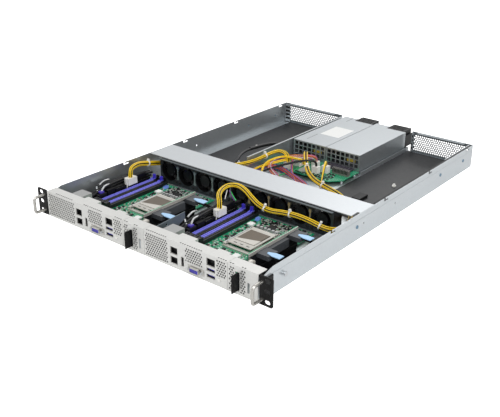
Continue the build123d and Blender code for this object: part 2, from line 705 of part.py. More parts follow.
# Riser card: an upright board in a socket, with a steel rail, an expansion slot and two cable
# plugs whose light-blue tabs pull them off.
def make_riser(start):
    x0 = start + RISER_X - RISER_THICK / 2
    x1 = x0 + RISER_THICK
    card = block(x0, x1, RISER_FRONT, RISER_REAR, SHEET + 5.0, RISER_TOP)
    keep("circuit_boards", card)
    half = RISER_SOCKET_WIDTH / 2
    socket = block(start + RISER_X - half, start + RISER_X + half, RISER_FRONT + 14,
                   RISER_REAR - 6, SHEET, RISER_SOCKET_TOP)
    socket -= block(x0, x1, RISER_FRONT + 14, RISER_REAR - 6, SHEET + 5.0, RISER_SOCKET_TOP)
    keep("board_parts", socket)
    rail = block(x1, x1 + 1.0, RISER_FRONT, RISER_REAR, RISER_TOP - RAIL_HEIGHT, RISER_TOP)
    rail += block(x1, x1 + 12.0, RISER_FRONT, RISER_FRONT + 1.0, SHEET, RISER_TOP - 6.0)
    rail += rod_y(4.5, RISER_FRONT - 7.0, RISER_FRONT, x1 + 6.0, RISER_TOP - 10.0)
    keep("riser_rails", rail)
    slot_low = (PLUG_PLACES[0] + PLUG_PLACES[1]) / 2 - 22.0
    slot = block(x1, x1 + EXPANSION_SLOT_WIDTH, slot_low, slot_low + 44.0, RISER_TOP - 19.0,
                 RISER_TOP - RAIL_HEIGHT - 0.5)
    plugs = []
    tabs = []
    for y in PLUG_PLACES:
        half = PLUG_WIDTH / 2
        plug = block(x1, x1 + PLUG_REACH, y - half + 2, y + half + 2, PLUG_LOW, PLUG_HIGH)
        plug -= block(x1, x1 + 1.0, y - half + 2, y + half + 2, RISER_TOP - RAIL_HEIGHT,
                      PLUG_HIGH)
        plugs.append(plug)
        tab_half = TAB_WIDTH / 2
        tab = profile_xy(
            [
                (x1 + TAB_START, y - tab_half / 3),
                (x1 + TAB_START + TAB_WIDTH, y - tab_half),
                (x1 + TAB_LENGTH, y - tab_half),
                (x1 + TAB_LENGTH, y + tab_half),
                (x1 + TAB_START + TAB_WIDTH, y + tab_half),
                (x1 + TAB_START, y + tab_half / 3),
            ],
            PLUG_HIGH,
            PLUG_HIGH + TAB_THICK,
        )
        tabs.append(tab)
    keep("riser_plugs", slot, *plugs)
    keep("pull_tabs", *tabs)


# Sheet between the two boards, with a slanted rear edge.
def make_divider():
    x0 = DIVIDER_X
    outline = [
        (PANEL_FLANGE + 2.0, SHEET),
        (PANEL_FLANGE + 2.0, 38.5),
        (DIVIDER_REAR, 41.0),
        (DIVIDER_REAR, 30.0),
        (52.0, 14.0),
        (52.0, SHEET),
    ]
    sheet = Part() + profile_yz(outline, x0, x0 + SHEET)
    sheet -= rod_x(2.0, x0, x0 + SHEET, 46.0, 33.5)
    foot = block(x0 - 8.0, x0, PANEL_FLANGE + 2.0, 52.0, SHEET, SHEET * 2)
    keep("centre_divider", sheet + foot)


# Fan wall: nine housings behind a sheet with round openings, held by rubber pins. Each rotor
# turns on a pin that stands forward from the spider at the housing's rear.
def make_fans():
    sheet = Part() + pierced_sheet(
        BRACKET_LEFT, BRACKET_RIGHT, SHEET, BRACKET_TOP, BRACKET_Y, BRACKET_THICK, [],
        [(x, FAN_Z) for x in FAN_XS], FAN_BORE_R,
    )
    sheet += block(BRACKET_LEFT, BRACKET_RIGHT, BRACKET_Y - BRACKET_LIP, BRACKET_Y,
                   BRACKET_TOP - 1.0, BRACKET_TOP)
    sheet += block(BRACKET_LEFT, BRACKET_RIGHT, BRACKET_Y - 8.0, BRACKET_Y, SHEET, SHEET * 2)
    inset = FAN_SIDE / 2 - FAN_HOLE_INSET
    corners = [(sx * inset, sz * inset) for sx in (-1, 1) for sz in (-1, 1)]
    frame_y = FAN_DEPTH / 2
    housing = Pos(0, frame_y, 0) * Box(FAN_SIDE, FAN_DEPTH, FAN_SIDE)
    housing -= rod_y(FAN_BORE_R, 0, FAN_DEPTH, 0, 0)
    for dx, dz in corners:
        housing -= rod_y(FAN_HOLE_R, 0, FAN_DEPTH, dx, dz)
    arm = FAN_BORE_R + 0.4
    for angle in (45, 135):
        bar = Box(2 * arm, SPIDER, 3.0)
        housing += Pos(0, FAN_DEPTH - SPIDER / 2, 0) * Rot(0, angle, 0) * bar
    housing += rod_y(FAN_HUB_R, FAN_DEPTH - SPIDER, FAN_DEPTH, 0, 0)
    housing += rod_y(FAN_PIN_R, 6.0, FAN_DEPTH - SPIDER, 0, 0)

    hub_front, hub_rear = 2.6, FAN_DEPTH - SPIDER - 1.6
    blade_y = (hub_front + hub_rear) / 2
    blades = Part()
    for n in range(FAN_BLADES):
        blade = Pos(0, 0, (FAN_HUB_R + FAN_TIP_R) / 2) * Rot(0, 0, FAN_BLADE_ANGLE) * Box(
            FAN_BLADE_THICK, FAN_BLADE_CHORD, FAN_TIP_R - FAN_HUB_R + 3.0)
        blades += Pos(0, blade_y, 0) * Rot(0, 360 / FAN_BLADES * n, 0) * blade
    blades &= rod_y(FAN_TIP_R, 0, FAN_DEPTH, 0, 0)
    rotor = blades + rod_y(FAN_HUB_R, hub_front, hub_rear, 0, 0)
    rotor -= rod_y(FAN_PIN_R + RUNNING, 6.0 - 0.5, hub_rear, 0, 0)

    housings = []
    pins = []
    for n, x in enumerate(FAN_XS):
        place = Pos(x, FAN_FRONT, FAN_Z)
        housings.append(place * housing)
        keep(f"fan_rotor_{n + 1}", place * rotor)
        for dx, dz in corners:
            hx, hz = x + dx, FAN_Z + dz
            sheet -= rod_y(MOUNT_SHANK_R, BRACKET_Y, FAN_FRONT, hx, hz)
            pin = rod_y(MOUNT_HEAD_R, BRACKET_Y - MOUNT_HEAD, BRACKET_Y, hx, hz)
            pins.append(pin + rod_y(MOUNT_SHANK_R, BRACKET_Y, FAN_FRONT + 5.0, hx, hz))
    keep("fan_bracket", sheet)
    keep("fan_frames", *housings)
    keep("fan_mounts", *pins)


# Wide plate across the fans, with a flange down each wall and a lip at the rear.
def make_bridge():
    inner = HALF - SHEET - 0.3
    top, under = WALL_HEIGHT, WALL_HEIGHT - SHEET
    plate = block(-inner, inner, BRIDGE_FRONT, BRIDGE_REAR, under, top)
    plate -= block(inner - BRIDGE_NOTCH, inner, BRIDGE_FRONT, BRIDGE_FRONT + 18.0, under, top)
    plate += block(-inner + 20, inner - 20, BRIDGE_REAR - SHEET, BRIDGE_REAR,
                   under - BRIDGE_LIP, under)
    screws = []
    for side in (-1, 1):
        x0, x1 = sorted((side * (inner - SHEET), side * inner))
        plate += block(x0, x1, BRIDGE_FRONT + 20.0, BRIDGE_REAR - 4.0, under - BRIDGE_FLANGE,
                       under)
        head0, head1 = sorted((side * (inner - SHEET - 1.6), side * (inner - SHEET)))
        for y in (BRIDGE_FRONT + 26.0, BRIDGE_REAR - 10.0):
            screws.append(rod_x(2.8, head0, head1, y, under - BRIDGE_FLANGE + 5.0))
    keep("bridge_plate", plate)
    keep("fasteners", *screws)


# Bay for the supplies: one bent sheet with a tall wall on the left and a low one on the right.
def make_bay():
    bay = block(BAY_LEFT, BAY_RIGHT, BAY_FRONT, CASE_DEPTH - SHEET, SHEET, BAY_FLOOR)
    bay += block(BAY_LEFT, BAY_LEFT + BAY_SHEET, BAY_FRONT, CASE_DEPTH - SHEET, BAY_FLOOR,
                 BAY_WALL_TOP)
    bay += block(BAY_LEFT, BAY_LEFT + BAY_LIP, BAY_FRONT, CASE_DEPTH - SHEET,
                 BAY_WALL_TOP - BAY_SHEET, BAY_WALL_TOP)
    bay += block(BAY_RIGHT - BAY_SHEET, BAY_RIGHT, PSU_FRONT, CASE_DEPTH - SHEET, BAY_FLOOR,
                 BAY_LOW_FLANGE)
    keep("psu_bay", bay)


# Power supplies: a thin steel case with a grid of square holes towards the boards, the board
# inside it, a black fan hood that reaches out of the rack, and a thumb latch beside the hood.
def make_supplies():
    for number, x0 in PSU_LEFTS.items():
        x1 = x0 + PSU_WIDTH
        wall = PSU_WALL
        case = block(x0, x1, PSU_FRONT, PSU_REAR, PSU_BOTTOM, PSU_TOP)
        case -= block(x0 + wall, x1 - wall, PSU_FRONT + wall, PSU_REAR - wall,
                      PSU_BOTTOM + wall, PSU_TOP - wall)
        pitch = (PSU_WIDTH - 4.0) / PSU_GRID_COLUMNS
        for column in range(PSU_GRID_COLUMNS):
            cell_x = x0 + 2.0 + pitch * (column + 0.5)
            for row in range(PSU_GRID_ROWS):
                cell_z = PSU_GRID_LOW + (PSU_GRID_CELL_HEIGHT + 1.8) * row
                case -= block(cell_x - PSU_GRID_CELL / 2, cell_x + PSU_GRID_CELL / 2, PSU_FRONT,
                              PSU_FRONT + wall, cell_z, cell_z + PSU_GRID_CELL_HEIGHT)
        hood_x1 = x1 - HOOD_INSET
        hood_x0 = hood_x1 - HOOD_WIDTH
        ledge_top = PSU_BOTTOM + PSU_LEDGE
        case -= block(hood_x0 - PORT_GAP, x1, HOOD_FRONT - PORT_GAP, PSU_REAR, ledge_top,
                      PSU_TOP)
        case += block(hood_x0 - PORT_GAP, x1, HOOD_FRONT - 4.0, PSU_REAR, PSU_BOTTOM, ledge_top)
        pin_x, pin_y = x1 - 1.9, HOOD_FRONT + 2.4
        case += rod_z(PSU_LATCH_PIN_R, ledge_top, PSU_LATCH_HIGH, pin_x, pin_y)
        inlet_x0, inlet_x1 = x0 + 4.0, x0 + 28.0
        case -= block(inlet_x0, inlet_x1, PSU_REAR - wall, PSU_REAR, 10.0, 32.0)
        for px in (x0 + 6.0, x1 - 6.0):
            for py in (PSU_FRONT + 12.0, HOOD_FRONT - 14.0):
                case += rod_z(2.0, PSU_BOTTOM + wall, PSU_BOTTOM + 4.0, px, py)
        keep(f"psu_case_{number}", case)

        low = PSU_BOTTOM + 4.0
        core = block(x0 + 2.5, x1 - 2.5, PSU_FRONT + 3.0, HOOD_FRONT - 6.0, low, low + 1.6)
        core += block(x0 + 44.0, x0 + 68.0, PSU_FRONT + 4.0, PSU_FRONT + 30.0, low + 1.6, 36.0)
        core += block(x0 + 6.0, x0 + 34.0, PSU_FRONT + 40.0, PSU_FRONT + 80.0, low + 1.6, 34.0)
        core += block(x0 + 40.0, x0 + 66.0, PSU_FRONT + 60.0, PSU_FRONT + 120.0, low + 1.6, 30.0)
        keep(f"psu_core_{number}", core)

        hood = block(hood_x0, hood_x1, HOOD_FRONT, HOOD_REACH, ledge_top, PSU_TOP)
        hood -= rod_y(16.0, HOOD_FRONT + 14.0, HOOD_REACH, (hood_x0 + hood_x1) / 2,
                      (ledge_top + PSU_TOP) / 2)
        for n in range(4):
            y = HOOD_FRONT + 5.0 + n * 6.2
            hood -= block(hood_x0 + 4.0, hood_x1 - 4.0, y, y + 2.6, PSU_TOP - 1.0, PSU_TOP)
        inlet = block(inlet_x0 + PORT_GAP, inlet_x1 - PORT_GAP, PSU_REAR - 16.0, PSU_REAR,
                      10.0, 32.0 - PORT_GAP)
        inlet -= block(inlet_x0 + 2.5, inlet_x1 - 2.5, PSU_REAR - 12.0, PSU_REAR, 13.0, 29.0)
        keep(f"psu_hood_{number}", hood, inlet)

        latch_low = ledge_top + 2.0
        latch_high = PSU_LATCH_HIGH - 2.0
        latch = rod_z(1.7, latch_low, latch_high, pin_x, pin_y)
        latch += block(pin_x - PSU_LATCH_THICK / 2, pin_x + PSU_LATCH_THICK / 2, pin_y,
                       HOOD_REACH - 1.2, latch_low, latch_high)
        latch += rod_z(1.2, latch_low, latch_high, pin_x, HOOD_REACH - 1.2)
        latch -= rod_z(PSU_LATCH_PIN_R + RUNNING, latch_low, latch_high, pin_x, pin_y)
        keep(f"psu_latch_{number}", latch)


# Power distribution board on posts in the bay, with sockets that meet the supplies, loom plugs
# and a heat sink.
LEFT_FEED = (-30.0, 401.0)
SIGNAL_FEED = (-28.0, 424.0)
RIGHT_FEED = (-16.0, 438.0)
FAN_FEED = (36.0, 428.0)
SPARE_FEEDS = ((0.0, 408.0), (8.0, 436.0), (24.0, 414.0))


def make_power_board():
    x0, x1 = POWER_BOARD_LEFT, POWER_BOARD_RIGHT
    y0, y1 = POWER_BOARD_FRONT, POWER_BOARD_REAR
    cut = POWER_BOARD_CUT
    outline = [(x0, y0), (x1 - cut, y0), (x1, y0 + cut), (x1, y1), (x0, y1)]
    board = profile_xy(outline, POWER_BOARD_TOP - BOARD_THICK, POWER_BOARD_TOP)
    posts = []
    for px in (x0 + 6.0, x1 - 6.0):
        for py in (y0 + cut + 4.0, y1 - 6.0):
            posts.append(rod_z(POST_R, BAY_FLOOR, POWER_BOARD_TOP - BOARD_THICK, px, py))
    keep("circuit_boards", board)
    keep("fasteners", *posts)
    parts = []
    for left in PSU_LEFTS.values():
        parts.append(block(left + 8.0, left + PSU_WIDTH - 10.0, y1 - 20.0, y1 - 1.0,
                           POWER_BOARD_TOP, 13.8))
    sink = block(x1 - 36.0, x1 - 2.0, 432.0, 440.0, POWER_BOARD_TOP, 12.0)
    for n in range(9):
        fin = x1 - 36.0 + n * 4.0
        sink += block(fin, fin + 2.0, 432.0, 440.0, 12.0, 20.0)
    keep("board_parts", sink, *parts)
    plugs = []
    for x, y in (LEFT_FEED, SIGNAL_FEED, RIGHT_FEED, FAN_FEED, *SPARE_FEEDS):
        plugs.append(block(x - 6.5, x + 6.5, y - 5.0, y + 5.0, POWER_BOARD_TOP, LOOM_PLUG_TOP))
    keep("loom_plugs", *plugs)


# Black sheets on the floors beside the bay, and the white rivets that hold them.
def make_floor_sheets():
    top = FLOOR_SHEET_TOP
    spans = {"left": (-FLOOR_SIDE, BAY_LEFT - 0.5), "right": (BAY_RIGHT + 0.5, FLOOR_SIDE + 3.0)}
    rivets = []
    places = {"left": ((-157.0, 468.0), (-128.0, 376.0), (-97.0, 340.0)),
              "right": ((158.0, 464.0),)}
    for name, (x0, x1) in spans.items():
        sheet = block(x0, x1, FLOOR_FRONT, FLOOR_REAR, SHEET, top)
        keep("floor_sheets", sheet)
        for x, y in places[name]:
            rivets.append(rod_z(3.6, top, top + 2.2, x, y) + rod_z(2.2, top + 2.2, 6.5, x, y))
    keep("nylon_ties", *rivets)


# Wiring. The supply looms run from the distribution board past each end of the fan wall to the
# boards; ties and plugs hold them all the way.
RIGHT_PLUG = (BOARD_ORIGINS["right"] + POWER_PLUG_X, POWER_PLUG_Y)
LEFT_PLUG = (BOARD_ORIGINS["left"] + POWER_PLUG_X, POWER_PLUG_Y)
RIGHT_LOOM = (
    (*RIGHT_FEED, LOOM_PLUG_TOP), (*RIGHT_FEED, LOOM_PLUG_TOP + 10.0), (-8.0, 425.0, 35.0),
    (8.0, 404.0, 30.0), (33.0, 375.0, 22.0), (66.0, 354.0, 20.0), (100.0, 343.0, 20.0),
    (132.0, 334.0, 18.0), (164.0, 309.0, 13.0), (188.0, 274.0, 12.0), (198.0, 237.0, 13.0),
    (183.0, 213.0, 16.0), (158.0, 207.0, 25.0), (130.0, 207.0, 27.0), (104.0, 207.0, 24.5),
    (78.0, 207.0, 19.5), (56.0, 205.0, 24.0), (40.0, 205.0, 34.0), (24.0, 208.0, 42.5),
    (6.0, 212.0, 44.0), (-8.0, 205.0, 42.5), (-6.0, 187.0, 41.5), (5.0, 167.0, 42.0),
    (*RIGHT_PLUG, POWER_PLUG_TOP + 13.0), (*RIGHT_PLUG, POWER_PLUG_TOP),
)
LEFT_LOOM = (
    (*LEFT_FEED, LOOM_PLUG_TOP), (*LEFT_FEED, LOOM_PLUG_TOP + 9.0), (-40.0, 404.0, 36.5),
    (-54.0, 402.0, 37.0), (-59.0, 384.0, 35.5), (-60.0, 356.0, 33.5), (-67.0, 328.0, 31.0),
    (-86.0, 304.0, 28.0), (-118.0, 292.0, 23.0), (-154.0, 287.0, 19.0), (-186.0, 274.0, 18.0),
    (-203.0, 248.0, 22.0), (-204.0, 222.0, 28.0), (-202.0, 200.0, 35.0), (-198.0, 183.0, 39.5),
    (-192.0, 166.0, 41.5), (*LEFT_PLUG, POWER_PLUG_TOP + 13.0), (*LEFT_PLUG, POWER_PLUG_TOP),
)
FAN_LOOM = (
    (*FAN_FEED, LOOM_PLUG_TOP), (*FAN_FEED, LOOM_PLUG_TOP + 9.0), (42.0, 416.0, 31.5),
    (51.0, 398.0, 24.0), (62.0, 377.0, 14.0), (74.0, 354.0, 9.8), (90.0, 325.0, 9.4),
    (104.0, 297.0, 9.6), (110.0, 278.0, 9.4), (110.0, FAN_REAR, 9.4),
)
SIGNAL_LOOM = (
    (*SIGNAL_FEED, LOOM_PLUG_TOP), (*SIGNAL_FEED, LOOM_PLUG_TOP + 8.0), (-23.0, 409.0, 30.0),
    (-12.0, 387.0, 24.0), (8.0, 362.0, 18.0), (34.0, 340.0, 14.0), (54.0, 312.0, 11.0),
    (62.3, 284.0, 9.4), (62.3, FAN_REAR, 9.4),
)
FLOOR_PLUG = (-92.0, 534.0)
FLOOR_PLUG_Z = 9.0
BLACK_CABLE = (
    (-101.0, FAN_REAR, 9.4), (-101.0, 270.0, 9.4), (-97.0, 290.0, 12.0), (-92.0, 312.0, 20.0),
    (-98.0, 337.0, 28.0), (-110.0, 363.0, 30.0), (-116.0, 396.0, 28.0), (-117.0, 432.0, 25.0),
    (-112.0, 466.0, 21.0), (-102.0, 494.0, 14.0), (-92.0, 516.0, FLOOR_PLUG_Z),
    (*FLOOR_PLUG, FLOOR_PLUG_Z),
)
TIED_RUNS = {"right": (3, 5, 11, 13, 15), "left": (4, 7, 12)}
TIE_THICK = 1.0
TIE_WIDTH = 2.4


def tie(points, run):
    """A nylon tie round a loom, in the middle of one straight run, with its head on top."""
    start, end = Vector(*points[run]), Vector(*points[run + 1])
    inner = LOOM_DIA / 2 + 0.15
    band = Cylinder(inner + TIE_THICK, TIE_WIDTH) - Cylinder(inner, TIE_WIDTH)
    head_x = inner + TIE_THICK + 1.6
    band += Pos(head_x, 0, 0) * Box(4.0, 4.0, TIE_WIDTH + 1.0)
    band -= Cylinder(inner, TIE_WIDTH * 2)
    along = end - start
    up = Vector(0, 0, 1) - along * (along.Z / along.length**2)
    return Plane(origin=(start + end) / 2, x_dir=up, z_dir=along) * band


def make_wiring():
    keep("harness_right", tube("harness_right", RIGHT_LOOM, LOOM_DIA))
    keep("harness_left", tube("harness_left", LEFT_LOOM, LOOM_DIA))
    keep("harness_right", tube("fan feed", FAN_LOOM, SIGNAL_DIA))
    keep("signal_wires", tube("signal_wires", SIGNAL_LOOM, SIGNAL_DIA))
    keep("black_cable", tube("black_cable", BLACK_CABLE, BLACK_CABLE_DIA))
    x, y = FLOOR_PLUG
    keep("loom_plugs", block(x - 5.5, x + 5.5, y, y + 13.0, FLOOR_SHEET_TOP, FLOOR_PLUG_Z + 4.5))
    for run in TIED_RUNS["right"]:
        keep("nylon_ties", tie(RIGHT_LOOM, run))
    for run in TIED_RUNS["left"]:
        keep("nylon_ties", tie(LEFT_LOOM, run))


def main():
    make_tray()
    make_rear_grilles()
    make_ears()
    make_io_panels()
    make_slot_panels()
    make_boards()
    make_divider()
    make_fans()
    make_bridge()
    make_bay()
    make_supplies()
    make_power_board()
    make_floor_sheets()
    make_wiring()
    os.makedirs("parts", exist_ok=True)
    for name, solids in pieces.items():
        export_step(Compound(children=solids), f"parts/{name}.step")


main()
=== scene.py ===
import math
import random

import bmesh
import bpy
from mathutils import Matrix, Vector


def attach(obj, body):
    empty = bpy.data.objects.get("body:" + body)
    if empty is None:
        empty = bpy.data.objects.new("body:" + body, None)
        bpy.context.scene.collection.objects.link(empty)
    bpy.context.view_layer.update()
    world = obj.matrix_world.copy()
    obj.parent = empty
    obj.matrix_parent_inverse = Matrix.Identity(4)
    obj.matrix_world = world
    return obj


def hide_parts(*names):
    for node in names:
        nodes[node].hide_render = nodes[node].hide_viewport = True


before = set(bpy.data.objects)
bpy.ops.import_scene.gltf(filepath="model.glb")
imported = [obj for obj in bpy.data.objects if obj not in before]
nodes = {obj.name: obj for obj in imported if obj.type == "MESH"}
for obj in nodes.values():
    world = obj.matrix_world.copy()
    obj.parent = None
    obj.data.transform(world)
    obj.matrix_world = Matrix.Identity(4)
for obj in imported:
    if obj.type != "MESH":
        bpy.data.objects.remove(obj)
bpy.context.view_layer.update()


def colour(code):
    """A hex colour as linear red, green, blue and alpha."""
    channels = [int(code[n:n + 2], 16) / 255 for n in (1, 3, 5)]
    return [c / 12.92 if c <= 0.04045 else ((c + 0.055) / 1.055) ** 2.4 for c in channels] + [1]


def add(material, kind, inputs=None, **settings):
    """Adds one shader node. An input is a value, or a socket that is linked to it."""
    node = material.node_tree.nodes.new(kind)
    for name, value in settings.items():
        setattr(node, name, value)
    for name, value in (inputs or {}).items():
        if isinstance(value, bpy.types.NodeSocket):
            material.node_tree.links.new(value, node.inputs[name])
        else:
            node.inputs[name].default_value = value
    return node


def surface(name, base, rough, metal=0.0, grain=0.0, grain_scale=400.0, bump=0.0, stretch=(1, 1, 1),
            coat=0.0, shade_depth=0.0, shine=0.5):
    """A procedural finish: a base colour with a fine uneven grain in tone, gloss and height, of
    grain_scale cells to the metre. A depth in metres, when given, sets how far painted shade
    reaches into the part's own holes and corners: an occlusion pass darkens the colour there."""
    material = bpy.data.materials.new(name)
    material.use_nodes = True
    tree = material.node_tree
    shader = tree.nodes["Principled BSDF"]
    where = add(material, "ShaderNodeTexCoord").outputs["Object"]
    scaled = add(material, "ShaderNodeMapping", {"Vector": where, "Scale": stretch}).outputs[0]
    noise = add(material, "ShaderNodeTexNoise",
                {"Vector": scaled, "Scale": grain_scale, "Detail": 4.0, "Roughness": 0.6})
    tone = add(material, "ShaderNodeMapRange",
               {"Value": noise.outputs[0], "From Min": 0.3, "From Max": 0.7,
                "To Min": 1 - grain, "To Max": 1 + grain})
    mixed = add(material, "ShaderNodeMix", {"Factor": 1.0}, data_type="RGBA",
                blend_type="MULTIPLY")
    mixed.inputs[6].default_value = colour(base)
    tree.links.new(tone.outputs[0], mixed.inputs[7])
    tree.links.new(mixed.outputs[2], shader.inputs["Base Color"])
    if shade_depth:
        # Painted shade: the colour darkens to near-black where the part's own faces close in round
        # a point.
        occlusion = add(material, "ShaderNodeAmbientOcclusion", {"Distance": shade_depth}, samples=8,
                      only_local=True)
        shade = add(material, "ShaderNodeMapRange",
                    {"Value": occlusion.outputs["AO"], "From Min": 0.35, "From Max": 0.8})
        shaded = add(material, "ShaderNodeMix", data_type="RGBA")
        shaded.inputs[6].default_value = colour("#0D0E10")
        tree.links.new(shade.outputs[0], shaded.inputs[0])
        tree.links.new(mixed.outputs[2], shaded.inputs[7])
        tree.links.new(shaded.outputs[2], shader.inputs["Base Color"])
    gloss = add(material, "ShaderNodeMapRange",
                {"Value": noise.outputs[0], "To Min": rough * 0.85, "To Max": rough * 1.15})
    tree.links.new(gloss.outputs[0], shader.inputs["Roughness"])
    shader.inputs["Metallic"].default_value = metal
    shader.inputs["Coat Weight"].default_value = coat
    shader.inputs["Specular IOR Level"].default_value = shine
    if bump:
        height = add(material, "ShaderNodeBump",
                     {"Height": noise.outputs[0], "Strength": bump, "Distance": 0.0004})
        tree.links.new(height.outputs[0], shader.inputs["Normal"])
    return material


def dress(name, material):
    """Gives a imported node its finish."""
    mesh = nodes[name].data
    mesh.materials.clear()
    mesh.materials.append(material)


zinc = surface("zinc_sheet", "#C6CBCE", 0.34, metal=0.85, grain=0.03, grain_scale=220.0, bump=0.03)
bright = surface("bright_sheet", "#CDD1D4", 0.4, metal=0.6, grain=0.02, grain_scale=160.0,
                 bump=0.02)
# The port panels, slot covers and rear grilles carry painted shade in their holes and corners.
panel_sheet = surface("panel_sheet", "#DADAD7", 0.42, metal=0.5, grain=0.03, grain_scale=260.0,
                      bump=0.03, shade_depth=0.003)
grille_sheet = surface("grille_sheet", "#7F868A", 0.4, metal=0.6, grain=0.03, bump=0.03,
                       shade_depth=0.003)
# The fan sheet is painted a darker grey than its pale steel: painted shade among the fans and
# cables.
shaded_fan_steel = surface("shaded_fan_steel_sheet", "#4B5356", 0.34, metal=0.75, grain=0.05, grain_scale=180.0, bump=0.04)
for node_name in ("chassis_tray", "psu_bay"):
    dress(node_name, zinc)
# The divider's steel is painted darker than the walls' zinc: painted shade inside the case.
dress("centre_divider", surface("shaded_divider_sheet", "#7D878C", 0.4, metal=0.7, grain=0.03, bump=0.03))
dress("rear_grilles", grille_sheet)
dress("bridge_plate", bright)
dress("io_panels", panel_sheet)
dress("slot_panels", panel_sheet)
dress("fan_bracket", shaded_fan_steel)

# Vents: punched holes in the port panels and slot covers look black from outside, so a thin black
# sheet of painted shade stands just behind the sheet, and dark slots of painted shade run along the
# front edge of the folded tops.
# place() takes millimetres, with Y counted from the front of the ears, and gives metres.
scene = bpy.context.scene
MM = 0.001
MIDDLE_Y = 324.25
SHARP_ANGLE = math.radians(35)
BOARD_STARTS = (-205.0, 0.0)


def place(x, y, z):
    return Vector((x, y - MIDDLE_Y, z)) * MM


def finish_piece(obj, material, body="chassis", smooth=True):
    """Puts a new piece into the scene with its finish, riding on a body."""
    obj.data.materials.clear()
    obj.data.materials.append(material)
    scene.collection.objects.link(obj)
    if smooth and obj.type == "MESH":
        obj.data.shade_smooth()
        obj.data.set_sharp_from_angle(angle=SHARP_ANGLE)
    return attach(obj, body)


def blocks(name, boxes, material, bevel=0.25, body="chassis"):
    """One piece of many bevelled blocks, each given by x0, x1, y0, y1, z0, z1."""
    form = bmesh.new()
    for x0, x1, y0, y1, z0, z1 in boxes:
        low, high = place(x0, y0, z0), place(x1, y1, z1)
        size = Matrix.Diagonal((*(high - low), 1))
        middle = Matrix.Translation((low + high) / 2)
        bmesh.ops.create_cube(form, size=1.0, matrix=middle @ size)
    if bevel:
        bmesh.ops.bevel(form, geom=form.edges[:], offset=bevel * MM, segments=1,
                        affect="EDGES", profile=0.5)
    mesh = bpy.data.meshes.new(name)
    form.to_mesh(mesh)
    form.free()
    return finish_piece(bpy.data.objects.new(name, mesh), material, body, smooth=False)


vent_shade = surface("vent_shade", "#08090A", 0.8)
VENT_FIELDS = ((7.5, 53.0, 3.4, 41.0), (75.0, 90.5, 25.5, 41.0), (88.5, 121.5, 18.5, 41.0),
               (145.5, 163.5, 15.5, 41.0), (166.5, 176.5, 3.4, 41.0), (187.5, 198.0, 3.4, 41.0))
VENT_PITCH = 4.2
PANEL_TOP = 43.0
shade_sheets, slots = [(-216.0, -197.5, 1.25, 1.45, 3.4, 41.0)], []
for start in BOARD_STARTS:
    for x0, x1, z0, z1 in VENT_FIELDS:
        shade_sheets.append((start + x0, start + x1, 1.25, 1.45, z0, z1))
        count = int((x1 - x0) / VENT_PITCH)
        firsts = [start + x0 + 1.0 + VENT_PITCH * n for n in range(count)]
        slots += [(x, x + 2.4, 1.2, 3.2, PANEL_TOP, PANEL_TOP + 0.03) for x in firsts]
blocks("vent_shade_sheets", shade_sheets, vent_shade, bevel=0)
blocks("top_slots", slots, vent_shade, bevel=0)

# Walls: blued steel screws stand in the outer faces. Dark strips run along the tops of the right
# wall and the bay; on the right wall the strip is partly painted shadow at the inner top edge and
# partly a black cable lying there. A bright folded lip runs inside the wall's rear part, and black
# film lies on the bare floor beside the boards.
SCREW_HEIGHT = 22.8
SCREW_RADIUS = 3.0


def rods(name, spots, material, body="chassis", sides=24, taper=1.0):
    """One piece of round parts, each given by its two end points and its radius."""
    form = bmesh.new()
    for start, end, radius in spots:
        low, high = place(*start), place(*end)
        turn = (high - low).to_track_quat("Z", "Y").to_matrix().to_4x4()
        matrix = Matrix.Translation((low + high) / 2) @ turn
        bmesh.ops.create_cone(form, cap_ends=True, segments=sides, radius1=radius * MM,
                              radius2=radius * taper * MM, depth=(high - low).length,
                              matrix=matrix)
    mesh = bpy.data.meshes.new(name)
    form.to_mesh(mesh)
    form.free()
    return finish_piece(bpy.data.objects.new(name, mesh), material, body)


wall_screw = surface("wall_screw", "#5F7D90", 0.3, metal=0.6, grain=0.05)
heads = [((side * 218.9, y, SCREW_HEIGHT), (side * 219.8, y, SCREW_HEIGHT), SCREW_RADIUS)
         for side in (-1, 1) for y in (240.0, 518.0, 610.0)]
rods("wall_screws", heads, wall_screw)
strip = surface("strip_black", "#131415", 0.5, grain=0.05, shine=0.3)
beside = [(start + 171.5, start + 203.5, 54.0, 212.0, 1.25, 1.55) for start in BOARD_STARTS]
beside += [(-216.0, -198.0, 30.0, 212.0, 1.25, 1.55), (6.7, 7.8, 88.0, 212.0, 1.25, 1.55)]
blocks("board_side_films", beside, strip, bevel=0)
# Partly painted shadow: a dark band along the right wall's inner top edge, where a black cable also
# lies.
blocks("wall_strip", [(213.4, 217.7, 296.0, 640.0, 41.6, 42.75),
                      (-74.8, -73.1, 396.0, 640.0, 38.6, 40.4)], strip, bevel=0.1)
blocks("wall_lip", [(211.6, 213.3, 545.0, 645.0, 42.0, 42.75)], bright, bevel=0.1)

# Rack ears of steel in black powder coat, dull and faintly pebbled, screwed to the walls. Their
# pull handles are bright cast metal, and the screws, board posts and rail studs are plated.
black_paint = surface("black_paint", "#0A0A0A", 0.5, grain=0.08, grain_scale=900.0, bump=0.12,
                      shine=0.2)
cast = surface("cast_metal", "#BDBBB6", 0.26, metal=0.9, grain=0.04, grain_scale=500.0, bump=0.05)
plated = surface("plated_screw", "#BFC2C4", 0.3, metal=0.9, grain=0.03)
dress("ears", black_paint)
dress("handles", cast)
dress("fasteners", plated)

# Insulating sheets of black polyester film, smooth with a soft sheen, lie on the floors beside the
# bay. Their rivets, the cable ties and the loom plugs are moulded in milky white nylon.
film = surface("black_film", "#1E1F21", 0.4, grain=0.04, grain_scale=120.0, bump=0.02, shine=0.35)
nylon = surface("white_nylon", "#E9E8E3", 0.42, grain=0.02)
dress("floor_sheets", film)
dress("nylon_ties", nylon)
dress("loom_plugs", nylon)

